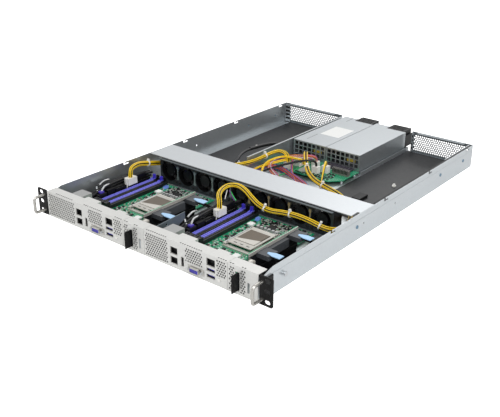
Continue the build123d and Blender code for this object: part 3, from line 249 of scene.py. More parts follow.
# Fans: nine housings and rotors, moulded in black glass-filled plastic that looks half matt. Soft
# rubber pins hold them in the openings of the sheet across the case.
fan_black = surface("fan_plastic", "#0C0C0D", 0.38, grain=0.06, grain_scale=700.0, bump=0.05,
                    shine=0.3)
rotor_black = surface("rotor_plastic", "#131315", 0.3, grain=0.06, grain_scale=500.0, bump=0.03,
                      shine=0.4)
rubber = surface("pin_rubber", "#202022", 0.7, grain=0.05)
dress("fan_frames", fan_black)
dress("fan_mounts", rubber)
for number in range(1, 10):
    dress(f"fan_rotor_{number}", rotor_black)

# Fan sheet: painted highlights on the narrow steel webs between its openings, pale on the left and
# warmer on the right, where the yellow of the loom falls on them as a painted reflection.
FAN_PITCH = 40.8
FIRST_FAN_X = -166.0
web_highlight_pale = surface("web_highlight_pale", "#7F8C8A", 0.4, metal=0.4, grain=0.1)
web_highlight_warm = surface("web_highlight_warm", "#A59670", 0.4, metal=0.4, grain=0.1)
for label, first, last, finish in (("pale", 0, 4, web_highlight_pale), ("warm", 4, 8, web_highlight_warm)):
    webs = []
    for n in range(first, last):
        x = FIRST_FAN_X + FAN_PITCH * (n + 0.5)
        webs += [(x - half, x + half, 227.9, 228.2, z0, z1)
                 for half, z0, z1 in ((1.2, 14.0, 29.0), (2.2, 29.0, 34.0), (2.2, 9.0, 14.0))]
    blocks(f"fan_web_highlights_{label}", webs, finish, bevel=0)


# Circuit boards: glass-fibre sheet with copper under glossy green solder mask, screwed to posts.
# Lighter traces 3.7 mm apart run aslant over it, bent by noise, and tinned pads stand in patches
# on cells of 2.4 mm. Both are drawn coarser than real ones, so that they show.
TRACE_SCALE = 120.0
PATCH_SCALE = 75.0
PAD_SCALE = 420.0


def base_of(material):
    """The finish's colour input, what feeds it, and the place on the object."""
    target = material.node_tree.nodes["Principled BSDF"].inputs["Base Color"]
    where = add(material, "ShaderNodeTexCoord").outputs["Object"]
    return target, target.links[0].from_socket, where


def board_finish():
    material = surface("green_board", "#128A5E", 0.3, grain=0.10, grain_scale=60.0, coat=0.3)
    target, base, where = base_of(material)
    lines = add(material, "ShaderNodeTexWave",
                {"Vector": where, "Scale": TRACE_SCALE, "Distortion": 3.5, "Detail": 1.0},
                wave_type="BANDS", bands_direction="DIAGONAL")
    trace = add(material, "ShaderNodeMath", {0: lines.outputs[1], 1: 0.8},
                operation="GREATER_THAN")
    traced = add(material, "ShaderNodeMix",
                 {0: trace.outputs[0], 6: base, 7: colour("#2BA67C")}, data_type="RGBA")
    patches = add(material, "ShaderNodeTexVoronoi", {"Vector": where, "Scale": PATCH_SCALE})
    near = add(material, "ShaderNodeMath", {0: patches.outputs[0], 1: 0.42},
               operation="LESS_THAN")
    cells = add(material, "ShaderNodeTexVoronoi", {"Vector": where, "Scale": PAD_SCALE})
    pad = add(material, "ShaderNodeMath", {0: cells.outputs[0], 1: 0.16}, operation="LESS_THAN")
    both = add(material, "ShaderNodeMath", {0: pad.outputs[0], 1: near.outputs[0]},
               operation="MULTIPLY")
    padded = add(material, "ShaderNodeMix",
                 {0: both.outputs[0], 6: traced.outputs[2], 7: colour("#D9DDD6")},
                 data_type="RGBA")
    material.node_tree.links.new(padded.outputs[2], target)
    return material


green = board_finish()
dress("circuit_boards", green)

# Ports: shells of tinned steel, soldered to the boards behind the openings of the panels, with
# moulded blue tongues in the serial-bus ports.
# The port shells carry painted shade deep inside their mouths.
tin = surface("tinned_shell", "#C9C7C1", 0.34, metal=0.6, grain=0.05, grain_scale=300.0, bump=0.03,
              shade_depth=0.012)
port_blue = surface("port_blue", "#3A34AE", 0.35, grain=0.04)
port_dark = surface("port_dark", "#0C0C0E", 0.5)
dress("io_ports", tin)
tongues = []
for start in BOARD_STARTS:
    tongues += [(start + 128.9, start + 140.5, 2.0, 14.1, z - 0.15, z + 1.75) for z in (19.9, 10.2)]
blocks("serial_tongues", tongues, port_blue, bevel=0.1)

# Port cages: one taller folded cage of grey steel on each board behind the first ports, soldered
# down and seen over the folded top of the panel.
cage_grey = surface("cage_grey", "#A6A7A6", 0.4, metal=0.5, grain=0.05)
blocks("port_cages", [(start + 20.0, start + 44.0, 20.5, 46.0, 29.0, 39.6)
                      for start in BOARD_STARTS], cage_grey, bevel=0.4)

# Port linings: a black back wall, thin sides and a floor to each mouth of the network, upright and
# serial-bus shells. In the network and upright ports they are black moulded plastic; the thin sides
# and floors inside the serial-bus shells are painted shade.
linings = []
for start in BOARD_STARTS:
    for x0, x1, z0, z1 in ((58.6, 71.7, 22.1, 32.5), (58.6, 71.7, 6.9, 17.1),
                           (127.3, 142.1, 26.3, 37.1), (79.3, 83.9, 8.0, 22.3)):
        linings += [(start + x0, start + x1, 6.0, 13.9, z0, z1),
                    (start + x0, start + x0 + 0.5, 1.6, 6.0, z0, z1),
                    (start + x1 - 0.5, start + x1, 1.6, 6.0, z0, z1),
                    (start + x0, start + x1, 1.6, 6.0, z0, z0 + 0.4)]
    linings += [(start + x0, start + x1, 1.6, 13.9, z0, z0 + 0.3)
                for x0, x1, z0 in ((127.3, 142.1, 17.7), (127.3, 142.1, 7.9))]
    linings += [(start + x0, start + x0 + 0.4, 1.6, 13.9, z0, z1)
                for x0 in (127.3, 141.7) for z0, z1 in ((17.7, 22.1), (7.9, 12.5))]
blocks("port_linings", linings, port_dark, bevel=0)

# Display ports: a tinned flange and D-shaped shell round a blue moulded insert, with fifteen pin
# holes drawn as dark dots of painted shade. Two hex posts beside it take the screws of the plug.
flanges, inserts, pin_dots, posts = [], [], [], []
for start in BOARD_STARTS:
    middle, level = start + 107.3, 10.75
    flanges += [(middle - 14.8, middle + 14.8, -0.6, 12.0, 6.2, 15.3),
                (middle - 8.5, middle + 8.5, -5.5, -0.6, level + 3.0, level + 3.6),
                (middle - 7.4, middle + 7.4, -5.5, -0.6, level - 3.6, level - 3.0),
                (middle - 8.5, middle - 7.8, -5.5, -0.6, level - 2.4, level + 3.6),
                (middle + 7.8, middle + 8.5, -5.5, -0.6, level - 2.4, level + 3.6),
                (middle - 8.0, middle - 7.3, -5.5, -0.6, level - 3.6, level - 2.4),
                (middle + 7.3, middle + 8.0, -5.5, -0.6, level - 3.6, level - 2.4)]
    inserts.append((middle - 7.6, middle + 7.6, -5.0, -0.6, level - 2.9, level + 2.9))
    pin_dots += [(middle - 5.6 + 2.3 * n, middle - 4.8 + 2.3 * n, -5.05, -5.0, level + z - 0.4,
                  level + z + 0.4) for n in range(5) for z in (-1.8, 0.0, 1.8)]
    posts += [((middle + side * 12.2, -0.6, level), (middle + side * 12.2, -4.2, level), 2.0)
              for side in (-1, 1)]
shells = blocks("display_shells", flanges, tin, bevel=0.1)
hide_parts("display_ports")
blocks("display_inserts", inserts, port_blue, bevel=0.2)
# Painted shade: dark dots in place of the pin holes.
blocks("display_pin_holes", pin_dots, port_dark, bevel=0)
rods("display_posts", posts, plated, sides=6)

# Memory slots: long sockets moulded in half-matt plastic and soldered side by side, alternately
# blue and black. Pale contacts cross the blue ones about 1 mm apart, and the clips at the ends are
# moulded in the same colours.
SLOT_PITCH = 8.75 * MM
FIRST_SLOT = 27.0 * MM
BOARD_PITCH = 205.0 * MM
DARK_END_Y = 73.5
CONTACT_SCALE = 300.0
CONTACT_STRENGTH = 0.35


def board_place(material, where):
    """The distance from the left edge of a point's own board, and its depth in the case."""
    axes = add(material, "ShaderNodeSeparateXYZ", {0: where}).outputs
    along = add(material, "ShaderNodeMath", {0: axes[0], 1: BOARD_PITCH}, operation="ADD")
    local = add(material, "ShaderNodeMath", {0: along.outputs[0], 1: BOARD_PITCH},
                operation="MODULO")
    return local.outputs[0], axes[1]


def slot_finish():
    material = surface("slot_plastic", "#7170E2", 0.38, grain=0.03)
    target, base, where = base_of(material)
    local, depth = board_place(material, where)
    first = add(material, "ShaderNodeMath", {0: local, 1: FIRST_SLOT - SLOT_PITCH / 2},
                operation="SUBTRACT")
    step = add(material, "ShaderNodeMath", {0: first.outputs[0], 1: 2 * SLOT_PITCH},
               operation="MODULO")
    dark = add(material, "ShaderNodeMath", {0: step.outputs[0], 1: SLOT_PITCH},
               operation="GREATER_THAN")
    front = add(material, "ShaderNodeMath", {0: depth, 1: (DARK_END_Y - MIDDLE_Y) * MM},
                operation="LESS_THAN")
    either = add(material, "ShaderNodeMath", {0: dark.outputs[0], 1: front.outputs[0]},
                 operation="MAXIMUM")
    mixed = add(material, "ShaderNodeMix",
                {0: either.outputs[0], 6: base, 7: colour("#151517")}, data_type="RGBA")
    bands = add(material, "ShaderNodeTexWave", {"Vector": where, "Scale": CONTACT_SCALE},
                wave_type="BANDS", bands_direction="Y")
    contact = add(material, "ShaderNodeMath", {0: bands.outputs[1], 1: 0.72},
                  operation="GREATER_THAN")
    faint = add(material, "ShaderNodeMath", {0: contact.outputs[0], 1: CONTACT_STRENGTH},
                operation="MULTIPLY")
    on_blue = add(material, "ShaderNodeMath", {0: 1.0, 1: either.outputs[0]},
                  operation="SUBTRACT")
    weight = add(material, "ShaderNodeMath", {0: faint.outputs[0], 1: on_blue.outputs[0]},
                 operation="MULTIPLY")
    striped = add(material, "ShaderNodeMix",
                  {0: weight.outputs[0], 6: mixed.outputs[2], 7: colour("#A9A7EE")},
                  data_type="RGBA")
    material.node_tree.links.new(striped.outputs[2], target)
    return material


blue_plastic = surface("clip_blue", "#4A3FD0", 0.36, grain=0.03)
black_plastic = surface("black_plastic", "#0C0C0E", 0.42, grain=0.05, bump=0.03, shine=0.25)
grey_plastic = surface("grey_plastic", "#44474B", 0.42, grain=0.05, bump=0.04)
dress("memory_slots", slot_finish())
for side in ("left", "right"):
    dress(f"memory_clips_blue_{side}", blue_plastic)
    dress(f"memory_clips_black_{side}", black_plastic)

# Processor sockets: a stamped steel frame, a hinged plate and a wire lever hold the processor down.
# Its nickel-plated lid carries a painted reflection in two tones, dull bronze behind and pale at
# the front. The slots pressed in each plate are dark marks of painted shade, and they rise with it.
REFLECTION_SLOPE = 0.31
REFLECTION_LINE_Y = 85.6
REFLECTION_BLUR = 0.6 * MM
stamped = surface("stamped_steel", "#C8C5BE", 0.36, metal=0.55, grain=0.05, grain_scale=350.0,
                  bump=0.03)


def lid_reflection_finish():
    # Painted reflection: pale in front of a slanting line across each lid, bronze behind it.
    material = surface("processor_lid_reflection", "#6A6054", 0.38, metal=0.35, grain=0.05)
    target, base, where = base_of(material)
    local, depth = board_place(material, where)
    slope = add(material, "ShaderNodeMath", {0: local, 1: REFLECTION_SLOPE}, operation="MULTIPLY")
    line = add(material, "ShaderNodeMath",
               {0: slope.outputs[0], 1: (REFLECTION_LINE_Y - MIDDLE_Y) * MM}, operation="ADD")
    ahead = add(material, "ShaderNodeMath", {0: line.outputs[0], 1: depth},
                operation="SUBTRACT")
    pale = add(material, "ShaderNodeMapRange",
               {"Value": ahead.outputs[0], "From Min": -REFLECTION_BLUR, "From Max": REFLECTION_BLUR})
    mixed = add(material, "ShaderNodeMix",
                {0: pale.outputs[0], 6: base, 7: colour("#D2CEC7")}, data_type="RGBA")
    material.node_tree.links.new(mixed.outputs[2], target)
    return material


reflected_lid = lid_reflection_finish()
plate_slot_shade = surface("plate_slot_shade", "#17181A", 0.6)
dress("socket_frames", stamped)
dress("processors", reflected_lid)
for side, start in zip(("left", "right"), BOARD_STARTS):
    dress(f"load_plate_{side}", stamped)
    dress(f"load_lever_{side}", plated)
    # Dark marks of painted shade stand for the slots in each plate.
    marks = [(start + u, start + u + 6.0, 99.0, 100.8, 12.0, 12.04) for u in (92.0, 104.0, 116.0)]
    blocks(f"plate_slots_{side}", marks, plate_slot_shade, bevel=0, body=f"plate_{side}")

# Risers: each card stands between steel rails behind a black film. Grey moulded cable plugs sit
# in it, with pull tabs of light blue plastic tape.
riser_film = surface("riser_film", "#15171A", 0.45, grain=0.05, shine=0.3)
blocks("riser_films", [(start + 168.1, start + 168.4, 40.0, 156.0, 6.3, 34.4)
                       for start in BOARD_STARTS], riser_film, bevel=0)
tab_blue = surface("tab_blue", "#A8D0F4", 0.35, grain=0.03, coat=0.2)
dress("riser_rails", stamped)
dress("riser_plugs", grey_plastic)
dress("pull_tabs", tab_blue)

# Front controls: black moulded latches clip into the slot covers, and pale moulded power buttons
# stand in the panels in front of their switches.
for side in ("left", "right"):
    dress(f"slot_latch_{side}", black_plastic)
    dress(f"power_button_{side}", nylon)

# Supplies: folded cases of plated steel that slide in at the rear, with black moulded fan hoods
# and thumb latches.
case_sheet = surface("supply_case", "#B7BCBF", 0.34, metal=0.85, grain=0.03, grain_scale=200.0,
                     bump=0.02)
for number in (1, 2):
    dress(f"psu_case_{number}", case_sheet)
    dress(f"psu_core_{number}", grey_plastic)
    dress(f"psu_hood_{number}", black_plastic)
    dress(f"psu_latch_{number}", black_plastic)

# Board components: black chips, pale ceramics and tinned terminals, soldered to the boards. Small
# ones are scattered over the free areas with Geometry Nodes; larger ones stand one by one.
BOARD_TOP = 5.6


def free_land(name, areas, height):
    """A flat mesh of rectangles, x0, x1, y0, y1, at one height."""
    mesh = bpy.data.meshes.new(name)
    points, faces = [], []
    for x0, x1, y0, y1 in areas:
        first = len(points)
        points += [place(x0, y0, height), place(x1, y0, height), place(x1, y1, height),
                   place(x0, y1, height)]
        faces.append((first, first + 1, first + 2, first + 3))
    mesh.from_pydata(points, [], faces)
    return mesh


def scatter_tree():
    """Small blocks of varied size, square to the board, spread over a surface."""
    tree = bpy.data.node_groups.new("scatter_chips", "GeometryNodeTree")
    tree.is_modifier = True
    face = tree.interface
    face.new_socket("Geometry", in_out="INPUT", socket_type="NodeSocketGeometry")
    for name, kind in (("Spacing", "NodeSocketFloat"), ("Density", "NodeSocketFloat"),
                       ("Smallest", "NodeSocketVector"), ("Largest", "NodeSocketVector"),
                       ("Seed", "NodeSocketInt"), ("Finish", "NodeSocketMaterial")):
        face.new_socket(name, in_out="INPUT", socket_type=kind)
    face.new_socket("Geometry", in_out="OUTPUT", socket_type="NodeSocketGeometry")
    new, link = tree.nodes.new, tree.links.new
    given, result = new("NodeGroupInput"), new("NodeGroupOutput")
    spread = new("GeometryNodeDistributePointsOnFaces")
    spread.distribute_method = "POISSON"
    link(given.outputs["Geometry"], spread.inputs["Mesh"])
    link(given.outputs["Spacing"], spread.inputs["Distance Min"])
    link(given.outputs["Density"], spread.inputs["Density Max"])
    link(given.outputs["Seed"], spread.inputs["Seed"])
    cube = new("GeometryNodeMeshCube")
    raised = new("GeometryNodeTransform")
    raised.inputs["Translation"].default_value = (0, 0, 0.5)
    link(cube.outputs["Mesh"], raised.inputs["Geometry"])
    sizes = new("FunctionNodeRandomValue")
    sizes.data_type = "FLOAT_VECTOR"
    link(given.outputs["Smallest"], sizes.inputs[0])
    link(given.outputs["Largest"], sizes.inputs[1])
    link(given.outputs["Seed"], sizes.inputs["Seed"])
    quarter = new("FunctionNodeRandomValue")
    quarter.data_type = "INT"
    quarter.inputs[4].default_value = 0
    quarter.inputs[5].default_value = 1
    link(given.outputs["Seed"], quarter.inputs["Seed"])
    turn = new("ShaderNodeMath")
    turn.operation = "MULTIPLY"
    turn.inputs[1].default_value = math.pi / 2
    link(quarter.outputs[2], turn.inputs[0])
    angles = new("ShaderNodeCombineXYZ")
    link(turn.outputs[0], angles.inputs["Z"])
    copies = new("GeometryNodeInstanceOnPoints")
    link(spread.outputs["Points"], copies.inputs["Points"])
    link(raised.outputs["Geometry"], copies.inputs["Instance"])
    link(angles.outputs[0], copies.inputs["Rotation"])
    link(sizes.outputs[0], copies.inputs["Scale"])
    real = new("GeometryNodeRealizeInstances")
    link(copies.outputs["Instances"], real.inputs["Geometry"])
    painted = new("GeometryNodeSetMaterial")
    link(real.outputs["Geometry"], painted.inputs["Geometry"])
    link(given.outputs["Finish"], painted.inputs["Material"])
    link(painted.outputs["Geometry"], result.inputs["Geometry"])
    return tree


chips_tree = scatter_tree()


def scatter(name, land, spacing, density, smallest, largest, seed, finish):
    """One piece of small parts spread over a land; sizes are in millimetres."""
    holder = bpy.data.objects.new("land", land)
    scene.collection.objects.link(holder)
    changer = holder.modifiers.new("scatter", "NODES")
    changer.node_group = chips_tree
    values = {"Spacing": spacing * MM, "Density": density * 1e6,
              "Smallest": [v * MM for v in smallest], "Largest": [v * MM for v in largest],
              "Seed": seed, "Finish": finish}
    for item in chips_tree.interface.items_tree:
        if item.in_out == "INPUT" and item.name in values:
            changer[item.identifier] = values[item.name]
    graph = bpy.context.evaluated_depsgraph_get()
    mesh = bpy.data.meshes.new_from_object(holder.evaluated_get(graph), depsgraph=graph)
    mesh.name = name
    bpy.data.objects.remove(holder)
    bpy.data.meshes.remove(land)
    return finish_piece(bpy.data.objects.new(name, mesh), finish, smooth=False)


epoxy = surface("chip_epoxy", "#141517", 0.45, grain=0.08, grain_scale=900.0, bump=0.05, shine=0.3)
ceramic = surface("ceramic_part", "#A39A8C", 0.5, grain=0.15, grain_scale=900.0)
solder = surface("solder_tin", "#D6D8D6", 0.3, metal=0.55, grain=0.06, grain_scale=800.0)
# The heat sink carries painted shade between its fins.
heat_grey = surface("finned_aluminium", "#8E8B86", 0.4, metal=0.6, grain=0.05, bump=0.03,
                    shade_depth=0.004)
label_white = surface("label_white", "#EDEEEC", 0.5, grain=0.01)
header_blue = surface("header_blue", "#7C9BE8", 0.4, grain=0.04)
capacitor_top = surface("capacitor_can", "#C9CACB", 0.28, metal=0.75, grain=0.04)
FREE_AREAS = ((60, 76, 76, 165), (60, 160, 166, 205), (134, 160, 90, 164), (60, 160, 30, 64),
              (60, 160, 66, 84), (10, 20, 92, 104))
PIN_PITCH = 2.54
FIRST_SEEDS = {"left": 11, "right": 23}


def cans(name, spots, material, sides=24):
    """Upright round parts, each given by x, y, z0, z1 and radius."""
    upright = [((x, y, z0), (x, y, z1), radius) for x, y, z0, z1, radius in spots]
    return rods(name, upright, material, sides=sides, taper=0.94)


for side, start in zip(("left", "right"), BOARD_STARTS):
    areas = [(start + u0, start + u1, y0, y1) for u0, u1, y0, y1 in FREE_AREAS]
    seed = FIRST_SEEDS[side]
    for label, spacing, density, smallest, largest, finish in (
            ("chips", 6.4, 0.014, (2.0, 2.4, 0.9), (6.2, 6.8, 1.8), epoxy),
            ("ceramics", 4.4, 0.022, (1.0, 1.8, 0.6), (1.8, 3.6, 1.8), ceramic),
            ("terminals", 3.6, 0.035, (0.8, 1.4, 0.4), (2.4, 4.2, 1.6), solder)):
        land = free_land(f"land_{label}_{side}", areas, BOARD_TOP)
        scatter(f"board_{label}_{side}", land, spacing, density, smallest, largest, seed, finish)
        seed += 1

    rear = [(start + 76.0, start + 158.0, 162.0, 204.0)]
    scatter(f"rear_terminals_{side}", free_land(f"land_rear_{side}", rear, BOARD_TOP), 2.6, 0.09,
            (0.8, 1.4, 0.6), (2.6, 4.6, 2.4), seed, solder)
    scatter(f"rear_chips_{side}", free_land(f"land_rear_chips_{side}", rear, BOARD_TOP), 5.2, 0.03,
            (2.4, 2.8, 0.9), (6.4, 7.6, 2.2), seed + 1, epoxy)

    # Round capacitors behind the socket, dark and pale square chips and a small blue header.
    around = [(start + 84.0 + 7.4 * n, 168.0, BOARD_TOP, 11.4, 2.6) for n in range(6)]
    around += [(start + 138.0, 98.0 + 8.4 * n, BOARD_TOP, 12.0, 2.6) for n in range(7)]
    cans(f"capacitors_{side}", around, capacitor_top)
    small = [(start + 136.2, start + 149.8, 174.0, 187.0, BOARD_TOP, 7.6),
             (start + 96.0, start + 108.0, 176.0, 188.0, BOARD_TOP, 8.6),
             (start + 116.0, start + 124.0, 190.0, 198.0, BOARD_TOP, 7.6),
             (start + 113.0, start + 125.0, 67.0, 79.0, BOARD_TOP, 7.0),
             (start + 86.0, start + 96.0, 192.0, 200.0, BOARD_TOP, 7.2)]
    blocks(f"square_chips_{side}", small, epoxy)
    pale = [(start + 113.8, start + 124.2, 67.8, 78.2, 7.0, 9.1),
            (start + 62.0, start + 72.0, 167.0, 177.0, BOARD_TOP, 8.6),
            (start + 84.0, start + 90.0, 70.0, 76.0, BOARD_TOP, 7.4)]
    blocks(f"pale_chips_{side}", pale, label_white)
    header = [(start + 61.0, start + 67.0, 188.0, 197.0, BOARD_TOP, 8.0)]
    header += [(start + 61.6 + 2.2 * m, start + 62.6 + 2.2 * m, 189.0 + 2.4 * n, 190.0 + 2.4 * n,
                8.0, 10.2) for m in range(3) for n in range(4)]
    blocks(f"blue_header_{side}", header, header_blue, bevel=0.15)

    # Headers left of the memory: moulded shrouds with rows of tinned pins.
    shrouds, pins = [], []
    for y0, y1, top in ((168.0, 196.0, 14.6), (118.0, 142.0, 16.6)):
        shrouds += [(start + 10.0, start + 11.2, y0, y1, BOARD_TOP, top),
                    (start + 18.8, start + 20.0, y0, y1, BOARD_TOP, top),
                    (start + 11.2, start + 18.8, y0, y0 + 1.2, BOARD_TOP, top),
                    (start + 11.2, start + 18.8, y1 - 1.2, y1, BOARD_TOP, top),
                    (start + 11.2, start + 18.8, y0 + 1.2, y1 - 1.2, BOARD_TOP, 8.0)]
        firsts = [y0 + 2.6 + PIN_PITCH * n for n in range(int((y1 - y0 - 4) / PIN_PITCH))]
        pins += [(start + u, start + u + 0.7, y, y + 0.7, 8.0, top - 1.5)
                 for u in (13.2, 16.0) for y in firsts]
    blocks(f"header_shrouds_{side}", shrouds, black_plastic, bevel=0.15)
    blocks(f"header_pins_{side}", pins, solder, bevel=0)

# Sockets: black moulded loom sockets, riser card sockets and power switches, soldered where the
# packed board parts are, and a round inductor left of the memory.
sockets = []
for start in BOARD_STARTS:
    sockets += [(start + 12.5, start + 23.5, 144.0, 164.0, BOARD_TOP, 15.0),
                (start + 163.2, start + 166.4, 54.0, 150.0, 1.2, 14.0),
                (start + 168.0, start + 171.2, 54.0, 150.0, 1.2, 14.0),
                (start + 146.7, start + 153.1, 4.2, 9.2, BOARD_TOP, 13.5)]
sockets_piece = blocks("board_sockets", sockets, black_plastic, bevel=0.3)
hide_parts("board_parts")
cans("board_inductors", [(start + 15.0, 108.0, BOARD_TOP, 16.6, 5.0) for start in BOARD_STARTS],
     black_plastic, sides=36)

# Power board: two wide moulded connectors that the supplies plug into, a finned aluminium heat
# sink and scattered small parts, all soldered to the green board in the bay.
SUPPLY_STARTS = (-66.2, 8.3)
POWER_BOARD_TOP = 9.0
connector_tint = surface("connector_plastic", "#3A3640", 0.42, grain=0.05)
connectors, contacts = [], []
for left in SUPPLY_STARTS:
    connectors.append((left + 8.0, left + 63.5, 447.0, 466.0, POWER_BOARD_TOP, 13.8))
    connectors += [(left + 9.0 + 6.0 * n, left + 13.2 + 6.0 * n, 449.0, 464.0, 13.8, 15.2)
                   for n in range(9)]
    contacts += [(left + 9.6 + 3.0 * n, left + 10.8 + 3.0 * n, 444.6, 447.0, POWER_BOARD_TOP, 9.8)
                 for n in range(18)]
blocks("supply_connectors", connectors, connector_tint, bevel=0.3)
blocks("supply_contacts", contacts, solder, bevel=0)
cooler = [(46.7, 80.7, 432.0, 440.0, POWER_BOARD_TOP, 12.0)]
cooler += [(46.7 + 3.0 * n, 47.9 + 3.0 * n, 432.0, 440.0, 12.0, 20.0) for n in range(12)]
blocks("power_board_cooler", cooler, heat_grey, bevel=0.15)
power_land = [(-60, -36, 440, 446), (12, 40, 398, 420), (44, 60, 404, 428), (-60, 60, 396, 402)]
scatter("power_board_chips", free_land("land_power", power_land, POWER_BOARD_TOP), 4.0, 0.08,
        (1.4, 2.0, 0.8), (3.6, 4.4, 1.6), 5, epoxy)
scatter("power_board_tin", free_land("land_power_tin", power_land, POWER_BOARD_TOP), 2.4, 0.15,
        (0.6, 1.0, 0.2), (1.6, 2.4, 0.9), 6, solder)


# Supply looms: copper wires in smooth, slightly glossy yellow and black insulation, crimped in the
# plugs and tied. They follow the loom's own line with a slow twist, and that line is a smooth
# curve along its route.
def centre_line(points):
    """Points along the smooth line of a route given in millimetres."""
    curve = bpy.data.curves.new("route", "CURVE")
    curve.dimensions = "3D"
    curve.resolution_u = 8
    spline = curve.splines.new("NURBS")
    spline.points.add(len(points) - 1)
    for point, spot in zip(spline.points, points):
        point.co = (*place(*spot), 1)
    spline.order_u = 3
    spline.use_endpoint_u = True
    holder = bpy.data.objects.new("route", curve)
    scene.collection.objects.link(holder)
    mesh = bpy.data.meshes.new_from_object(holder)
    line = [vertex.co.copy() for vertex in mesh.vertices]
    bpy.data.meshes.remove(mesh)
    bpy.data.objects.remove(holder)
    bpy.data.curves.remove(curve)
    return line


def wires(name, lines, radius, material):
    """One piece of round wires along the given lines."""
    curve = bpy.data.curves.new(name, "CURVE")
    curve.dimensions = "3D"
    curve.bevel_depth = radius * MM
    curve.bevel_resolution = 2
    curve.use_fill_caps = True
    for line in lines:
        spline = curve.splines.new("POLY")
        spline.points.add(len(line) - 1)
        for point, spot in zip(spline.points, line):
            point.co = (*spot, 1)
    return finish_piece(bpy.data.objects.new(name, curve), material)


def bundle(points, count, spread, twist, seed):
    """Lines of wires laid round a route: spread is the bundle's radius in millimetres."""
    chance = random.Random(seed)
    line = centre_line(points)
    side = Vector((0, 0, 1)).cross(line[1] - line[0])
    if side.length < 1e-7:
        side = Vector((1, 0, 0))
    strands = [[] for _ in range(count)]
    phases = [2 * math.pi * n / count + chance.uniform(-0.2, 0.2) for n in range(count)]
    reach = [spread * MM * chance.uniform(0.55, 1.0) for _ in range(count)]
    for n, spot in enumerate(line):
        ahead = line[min(n + 1, len(line) - 1)] - line[max(n - 1, 0)]
        ahead.normalize()
        side = (side - ahead * side.dot(ahead)).normalized()
        across = ahead.cross(side)
        turn = twist * n / len(line)
        for strand, phase, far in zip(strands, phases, reach):
            angle = phase + turn
            strand.append(spot + side * math.cos(angle) * far + across * math.sin(angle) * far)
    return strands


def insulation(name, code):
    return surface(name, code, 0.36, grain=0.04, coat=0.15)


FAN_REAR = 257.4
yellow_wire = insulation("yellow_wire", "#F6CF1C")
black_wire = surface("black_wire", "#0D0D10", 0.36, grain=0.05, shine=0.4)
RIGHT_LOOM = (
    (-16.0, 438.0, 22.0), (-16.0, 438.0, 32.0), (-8.0, 425.0, 35.0),
    (8.0, 404.0, 30.0), (33.0, 375.0, 22.0), (66.0, 354.0, 20.0), (100.0, 343.0, 20.0),
    (132.0, 334.0, 18.0), (164.0, 309.0, 13.0), (188.0, 274.0, 12.0), (198.0, 237.0, 13.0),
    (183.0, 213.0, 16.0), (158.0, 207.0, 25.0), (130.0, 207.0, 27.0), (104.0, 207.0, 24.5),
    (78.0, 207.0, 19.5), (56.0, 205.0, 24.0), (40.0, 205.0, 34.0), (24.0, 208.0, 42.5),
    (6.0, 212.0, 44.0), (-8.0, 205.0, 42.5), (-6.0, 187.0, 41.5), (5.0, 167.0, 42.0),
    (18.0, 154.0, 40.0), (18.0, 154.0, 27.0),
)
LEFT_LOOM = (
    (-30.0, 401.0, 22.0), (-30.0, 401.0, 31.0), (-40.0, 404.0, 36.5),
    (-54.0, 402.0, 37.0), (-59.0, 384.0, 35.5), (-60.0, 356.0, 33.5), (-67.0, 328.0, 31.0),
    (-86.0, 304.0, 28.0), (-118.0, 292.0, 23.0), (-154.0, 287.0, 19.0), (-186.0, 274.0, 18.0),
    (-203.0, 248.0, 22.0), (-204.0, 222.0, 28.0), (-202.0, 200.0, 35.0), (-198.0, 183.0, 39.5),
    (-192.0, 166.0, 41.5), (-187.0, 154.0, 40.0), (-187.0, 154.0, 27.0),
)
FAN_LOOM = (
    (36.0, 428.0, 22.0), (36.0, 428.0, 31.0), (42.0, 416.0, 31.5),
    (51.0, 398.0, 24.0), (62.0, 377.0, 14.0), (74.0, 354.0, 9.8), (90.0, 325.0, 9.4),
    (104.0, 297.0, 9.6), (110.0, 278.0, 9.4), (110.0, FAN_REAR, 9.4),
)
for node_name, route, seed in (("harness_right", RIGHT_LOOM, 3), ("harness_left", LEFT_LOOM, 5)):
    strands = bundle(route, 9, 4.0, 1.6, seed)
    yellow = wires(f"{node_name}_yellow", strands[0:2] + strands[3:5] + strands[6:8], 0.9,
                   yellow_wire)
    wires(f"{node_name}_black", strands[2::3], 0.8, black_wire)
    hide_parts(node_name)
strands = bundle(FAN_LOOM, 4, 1.25, 5.0, 11)
wires("fan_feed_yellow", strands[:2], 1.0, yellow_wire)
wires("fan_feed_black", strands[2:], 1.0, black_wire)

# Signal loom: thin wires in four colours from the power board to the fans. Outside the bay lie a
# black jacketed cable with a thicker sleeve, and a black moulded block on the right floor.
SIGNAL_LOOM = (
    (-28.0, 424.0, 22.0), (-28.0, 424.0, 30.0), (-23.0, 409.0, 30.0),
    (-12.0, 387.0, 24.0), (8.0, 362.0, 18.0), (34.0, 340.0, 14.0), (54.0, 312.0, 11.0),
    (62.3, 284.0, 9.4), (62.3, FAN_REAR, 9.4),
)
BLACK_CABLE = (
    (-101.0, FAN_REAR, 9.4), (-101.0, 270.0, 9.4), (-97.0, 290.0, 12.0), (-92.0, 312.0, 20.0),
    (-98.0, 337.0, 28.0), (-110.0, 363.0, 30.0), (-116.0, 396.0, 28.0), (-117.0, 432.0, 25.0),
    (-112.0, 466.0, 21.0), (-102.0, 494.0, 14.0), (-92.0, 516.0, 9.0),
    (-92.0, 534.0, 9.0),
)
strands = bundle(SIGNAL_LOOM, 8, 1.7, 7.0, 8)
for n, code in enumerate(("#C8322C", "#E07820", "#2C4FB0", "#7B3FA0")):
    signal = wires(f"signal_wires_{n + 1}", strands[n::4], 0.55,
                   insulation(f"wire_{code[1:]}", code))
    if n == 0:
        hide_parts("signal_wires")
wires("black_cable_sleeve", [centre_line(BLACK_CABLE[6:11])], 3.4, black_wire)
blocks("floor_block", [(130.0, 147.0, 366.0, 394.0, 1.8, 6.5)], black_plastic, bevel=0.8)
